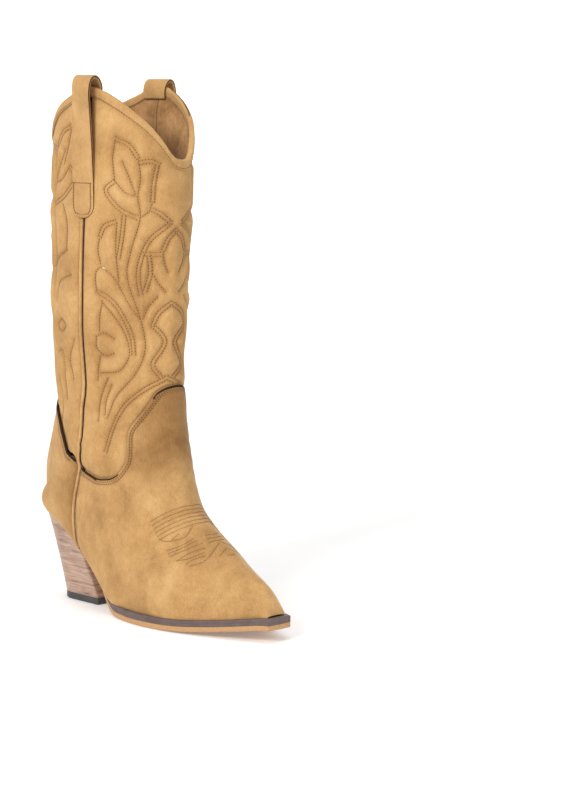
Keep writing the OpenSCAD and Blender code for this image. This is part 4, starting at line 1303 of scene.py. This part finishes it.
def heel_half(u, inset=0.0):
    """Half the heel's outline at u from the top lift (0) to the seat (1)."""
    q = np.radians(np.linspace(0, 90, 40))

    def one(rear, front, half, r, flare):
        arc = np.stack([rear + inset + (r - inset) * (1 - np.cos(q)), (half - inset) * np.sin(q)], -1)
        s = np.linspace(rear + r, front - inset, 22)[1:]
        k = (s - rear - r) / (front - rear - r)
        return np.concatenate([arc, np.stack([s, half - inset + flare * k], -1)])
    low = one(HEEL["rear_low"], HEEL["front_low"], HEEL["half_low"], HEEL["half_low"], 0)
    high = one(HEEL["rear_top"], HEEL["front_top"], HEEL["half_top"], HEEL["round_top"], 1)
    p = low + (high - low) * u
    z = HEEL["lift"] + (edge_z(high[:, 0]) - .2 - HEEL["lift"]) * u
    return np.concatenate([p, z[:, None]], 1)


def with_mirror(half):
    """A closed outline from the half that starts and ends on the middle line."""
    other = half[::-1][1:-1].copy()
    other[:, 1] *= -1
    return np.concatenate([half, other])


def heel_cover():
    us = np.concatenate([[0, .004, .01], np.linspace(.03, 1, 40)])
    rows_out, rows_in = [], []
    for u in us:
        for rows, inset in ((rows_out, 0.0), (rows_in, 1.15)):
            p = heel_half(u, inset)
            p[:, 1] -= WAIST * np.sin(np.pi * u) * (p[:, 1] / 24)
            p[:, 0] += REAR_CURVE * np.sin(np.pi * u) * (1 - np.clip((p[:, 0] - p[0, 0]) / 30, 0, 1))
            front = p[-1].copy()
            k = np.linspace(1, 0, 14)[1:]
            breast = np.stack([front[0] - .7 * (1 - k ** 2), front[1] * k, np.full(len(k), front[2])], -1)
            half = np.concatenate([p, breast])
            half[len(p) - 1, :2] -= CORNER_CUT
            rows.append(with_mirror(half))
    shell("heel_wrap_stacked", "heel_wrap", np.array(rows_out), np.array(rows_in), [heel_mat],
          ring=True)


heel_cover()


def top_lift():
    q = heel_half(0.0)
    k = np.linspace(1, 0, 14)[1:]
    breast = np.stack([np.full(len(k), q[-1, 0]), q[-1, 1] * k, np.zeros(len(k))], -1)
    loop = with_mirror(np.concatenate([q, breast])[:, :2])
    centre = np.array([50.0, 0.0])
    out = []
    for z, inset in LIFT_PROFILE:
        d = loop - centre
        r = np.linalg.norm(d, axis=1, keepdims=True)
        p = centre + d * np.maximum(0, 1 - inset / r)
        out.append(np.concatenate([p, np.full((len(p), 1), z)], 1))
    ob = sweep("heel_top_lift_rubber", to_row(np.array(out)), [lift_mat])
    belongs(ob, "heel_top_lift")


top_lift()


# ------------------------------------------------------------------ inside of the foot
def inner_skin(name, node, grid, depths, mat):
    base, n = skin(*grid), skin_normal(*grid)
    shell(name, node, base + n * depths[0], base + n * depths[1], [mat])


def foot_grid(rows, cols, t0, drop):
    h = np.linspace(-180, 180, cols)
    end = vamp_edge(h) - np.where(np.abs(h) < 92, drop, .01)
    v = np.linspace(0, 1, rows)[:, None]
    return t0 + (end[None] - t0) * v, np.broadcast_to(h[None], (rows, cols))


def heel_grid(rows, cols, drop):
    return heel_patch(cols, np.linspace(0, 1, rows)[:, None], drop, .01)


LINING_DEPTHS, BACKER_DEPTHS = (-1.3, -2.2), (-.08, -1.15)
inner_skin("vamp_lining_microfibre", "vamp_lining", foot_grid(70, 90, .6, .62), LINING_DEPTHS, lining_suede)
inner_skin("counter_lining_microfibre", "counter_lining", heel_grid(40, 60, .62), LINING_DEPTHS, lining_suede)
inner_skin("vamp_backer_cloth", "vamp_backer", foot_grid(60, 80, 4.6, .62), BACKER_DEPTHS, lining_suede)
inner_skin("counter_stiffener_board", "counter_stiffener", heel_grid(36, 50, .62), BACKER_DEPTHS, stiff_mat)


def sock():
    t = np.linspace(13.85, 1, 120)
    g = section(t)
    lo, hi = section(np.minimum(HEEL_REAR, t + .1)), section(np.maximum(0, t - .1))
    v = hi[:, [2, 4]] - lo[:, [2, 4]]
    v = unit(v)
    s, a = g[:, 2] + v[:, 1] * 3.4, np.maximum(1.5, g[:, 4] - v[:, 0] * 3.4)
    rise = 4.2 + 2.7 * smooth_step(t - 10)
    w = np.linspace(-1, 1, 25)
    z = (g[:, 3] + rise)[:, None] + .8 * np.abs(w[None]) ** 4
    top = np.stack([np.broadcast_to(s[:, None], z.shape), g[:, 8:9] + a[:, None] * w[None], z + 1.1], -1)
    low = top - np.array([0, 0, 1.1])
    shell("sock_lining_microfibre", "sock_lining", top, low, [lining_suede])


sock()

# CAD nodes that keep their shape
KEPT = {"toe_puff": stiff_mat, "insole_board": board_mat, "heel_pad": foam_mat, "shank": steel_mat,
        "bottom_filler": board_mat, "heel_core": board_mat, "heel_nails": steel_mat, "heel_screw": steel_mat,
        "top_lift_pins": steel_mat}
for node, mat in KEPT.items():
    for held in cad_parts[node].material_slots:
        held.material = mat

# ------------------------------------------------------------------ floor, light and camera
# A sheet of paper (metres): flat, then bent up behind the boot in a quarter round, then upright
FLAT_FROM, FLAT_TO, BEND_R, PAPER_TOP, PAPER_HALF = -3.5, 4.0, 1.6, 4.5, 5
bend = np.linspace(.05, np.pi / 2, 20)
paper_u = np.concatenate([np.linspace(FLAT_FROM, FLAT_TO, 30), FLAT_TO + BEND_R * np.sin(bend),
                          [FLAT_TO + BEND_R] * 6])
paper_z = np.concatenate([np.zeros(30), BEND_R * (1 - np.cos(bend)), np.linspace(1.9, PAPER_TOP, 6)])
view = np.array([.6874, .7263])
side_way = np.array([-view[1], view[0]])
paper_v = np.array([[*(view * a + side_way * w), z - .0002] for a, z in zip(paper_u, paper_z)
                    for w in np.linspace(-PAPER_HALF, PAPER_HALF, 21)])
floor_mat = Nodes("paper backdrop")
floor_mat.bsdf.inputs["Emission Color"].default_value = (1, 1, 1, 1)
floor_mat.bsdf.inputs["Emission Strength"].default_value = .16
grain = floor_mat.noise(40, 3, .5)
paper_grey = floor_mat.ramp(grain, [(.3, (.90, .90, .90)), (.7, (.92, .92, .92))])
floor = new_mesh("floor", paper_v, [grid_faces(len(paper_u), 21)], [floor_mat.shade(paper_grey, .85)])

world = bpy.data.worlds.new("studio")
world.use_nodes = True
world.node_tree.nodes["Background"].inputs["Color"].default_value = (1, 1, 1, 1)
world.node_tree.nodes["Background"].inputs["Strength"].default_value = .50
bpy.context.scene.world = world
bpy.context.scene.view_settings.view_transform = "Standard"


def area(name, where, target, size, power, colour=(1, 1, 1)):
    light = bpy.data.lights.new(name, "AREA")
    light.shape = "RECTANGLE"
    light.size, light.size_y = size
    light.energy, light.color = power, colour
    ob = bpy.data.objects.new(name, light)
    bpy.context.scene.collection.objects.link(ob)
    ob.location = where
    ob.rotation_mode = "QUATERNION"
    ob.rotation_quaternion = (Vector(target) - Vector(where)).to_track_quat("-Z", "Y")
    return ob


area("key", (-1.7, -.35, 1.25), (0, 0, .22), (.7, .7), 25, (1, .99, .975))
area("fill", (.2, -2.0, .9), (0, 0, .2), (1.3, 1.3), 9, (.985, .99, 1))
area("top", (-.1, .1, 2.0), (0, 0, .2), (1.2, 1.2), 12)
area("backdrop", (*(view * 2.6), 3.4), (*(view * 5.6), 1.6), (3.0, 1.5), 150)

# Millimetres of lens, and the camera's place in boot millimetres (s, a, z)
LENS, CAMERA_AT = 112.129, (1575.2, 1230.2, 427.8)
cam = bpy.data.cameras.new("camera")
cam.sensor_fit = "AUTO"
cam.sensor_width = 36
cam.lens = LENS
cam.clip_start, cam.clip_end = .05, 30
camera = bpy.data.objects.new("camera", cam)
bpy.context.scene.collection.objects.link(camera)
camera.location = to_row(CAMERA_AT)
look = Vector((.6813, .7197, -.1335)).normalized()
camera.rotation_mode = "QUATERNION"
camera.rotation_quaternion = look.to_track_quat("-Z", "Y")
bpy.context.scene.camera = camera
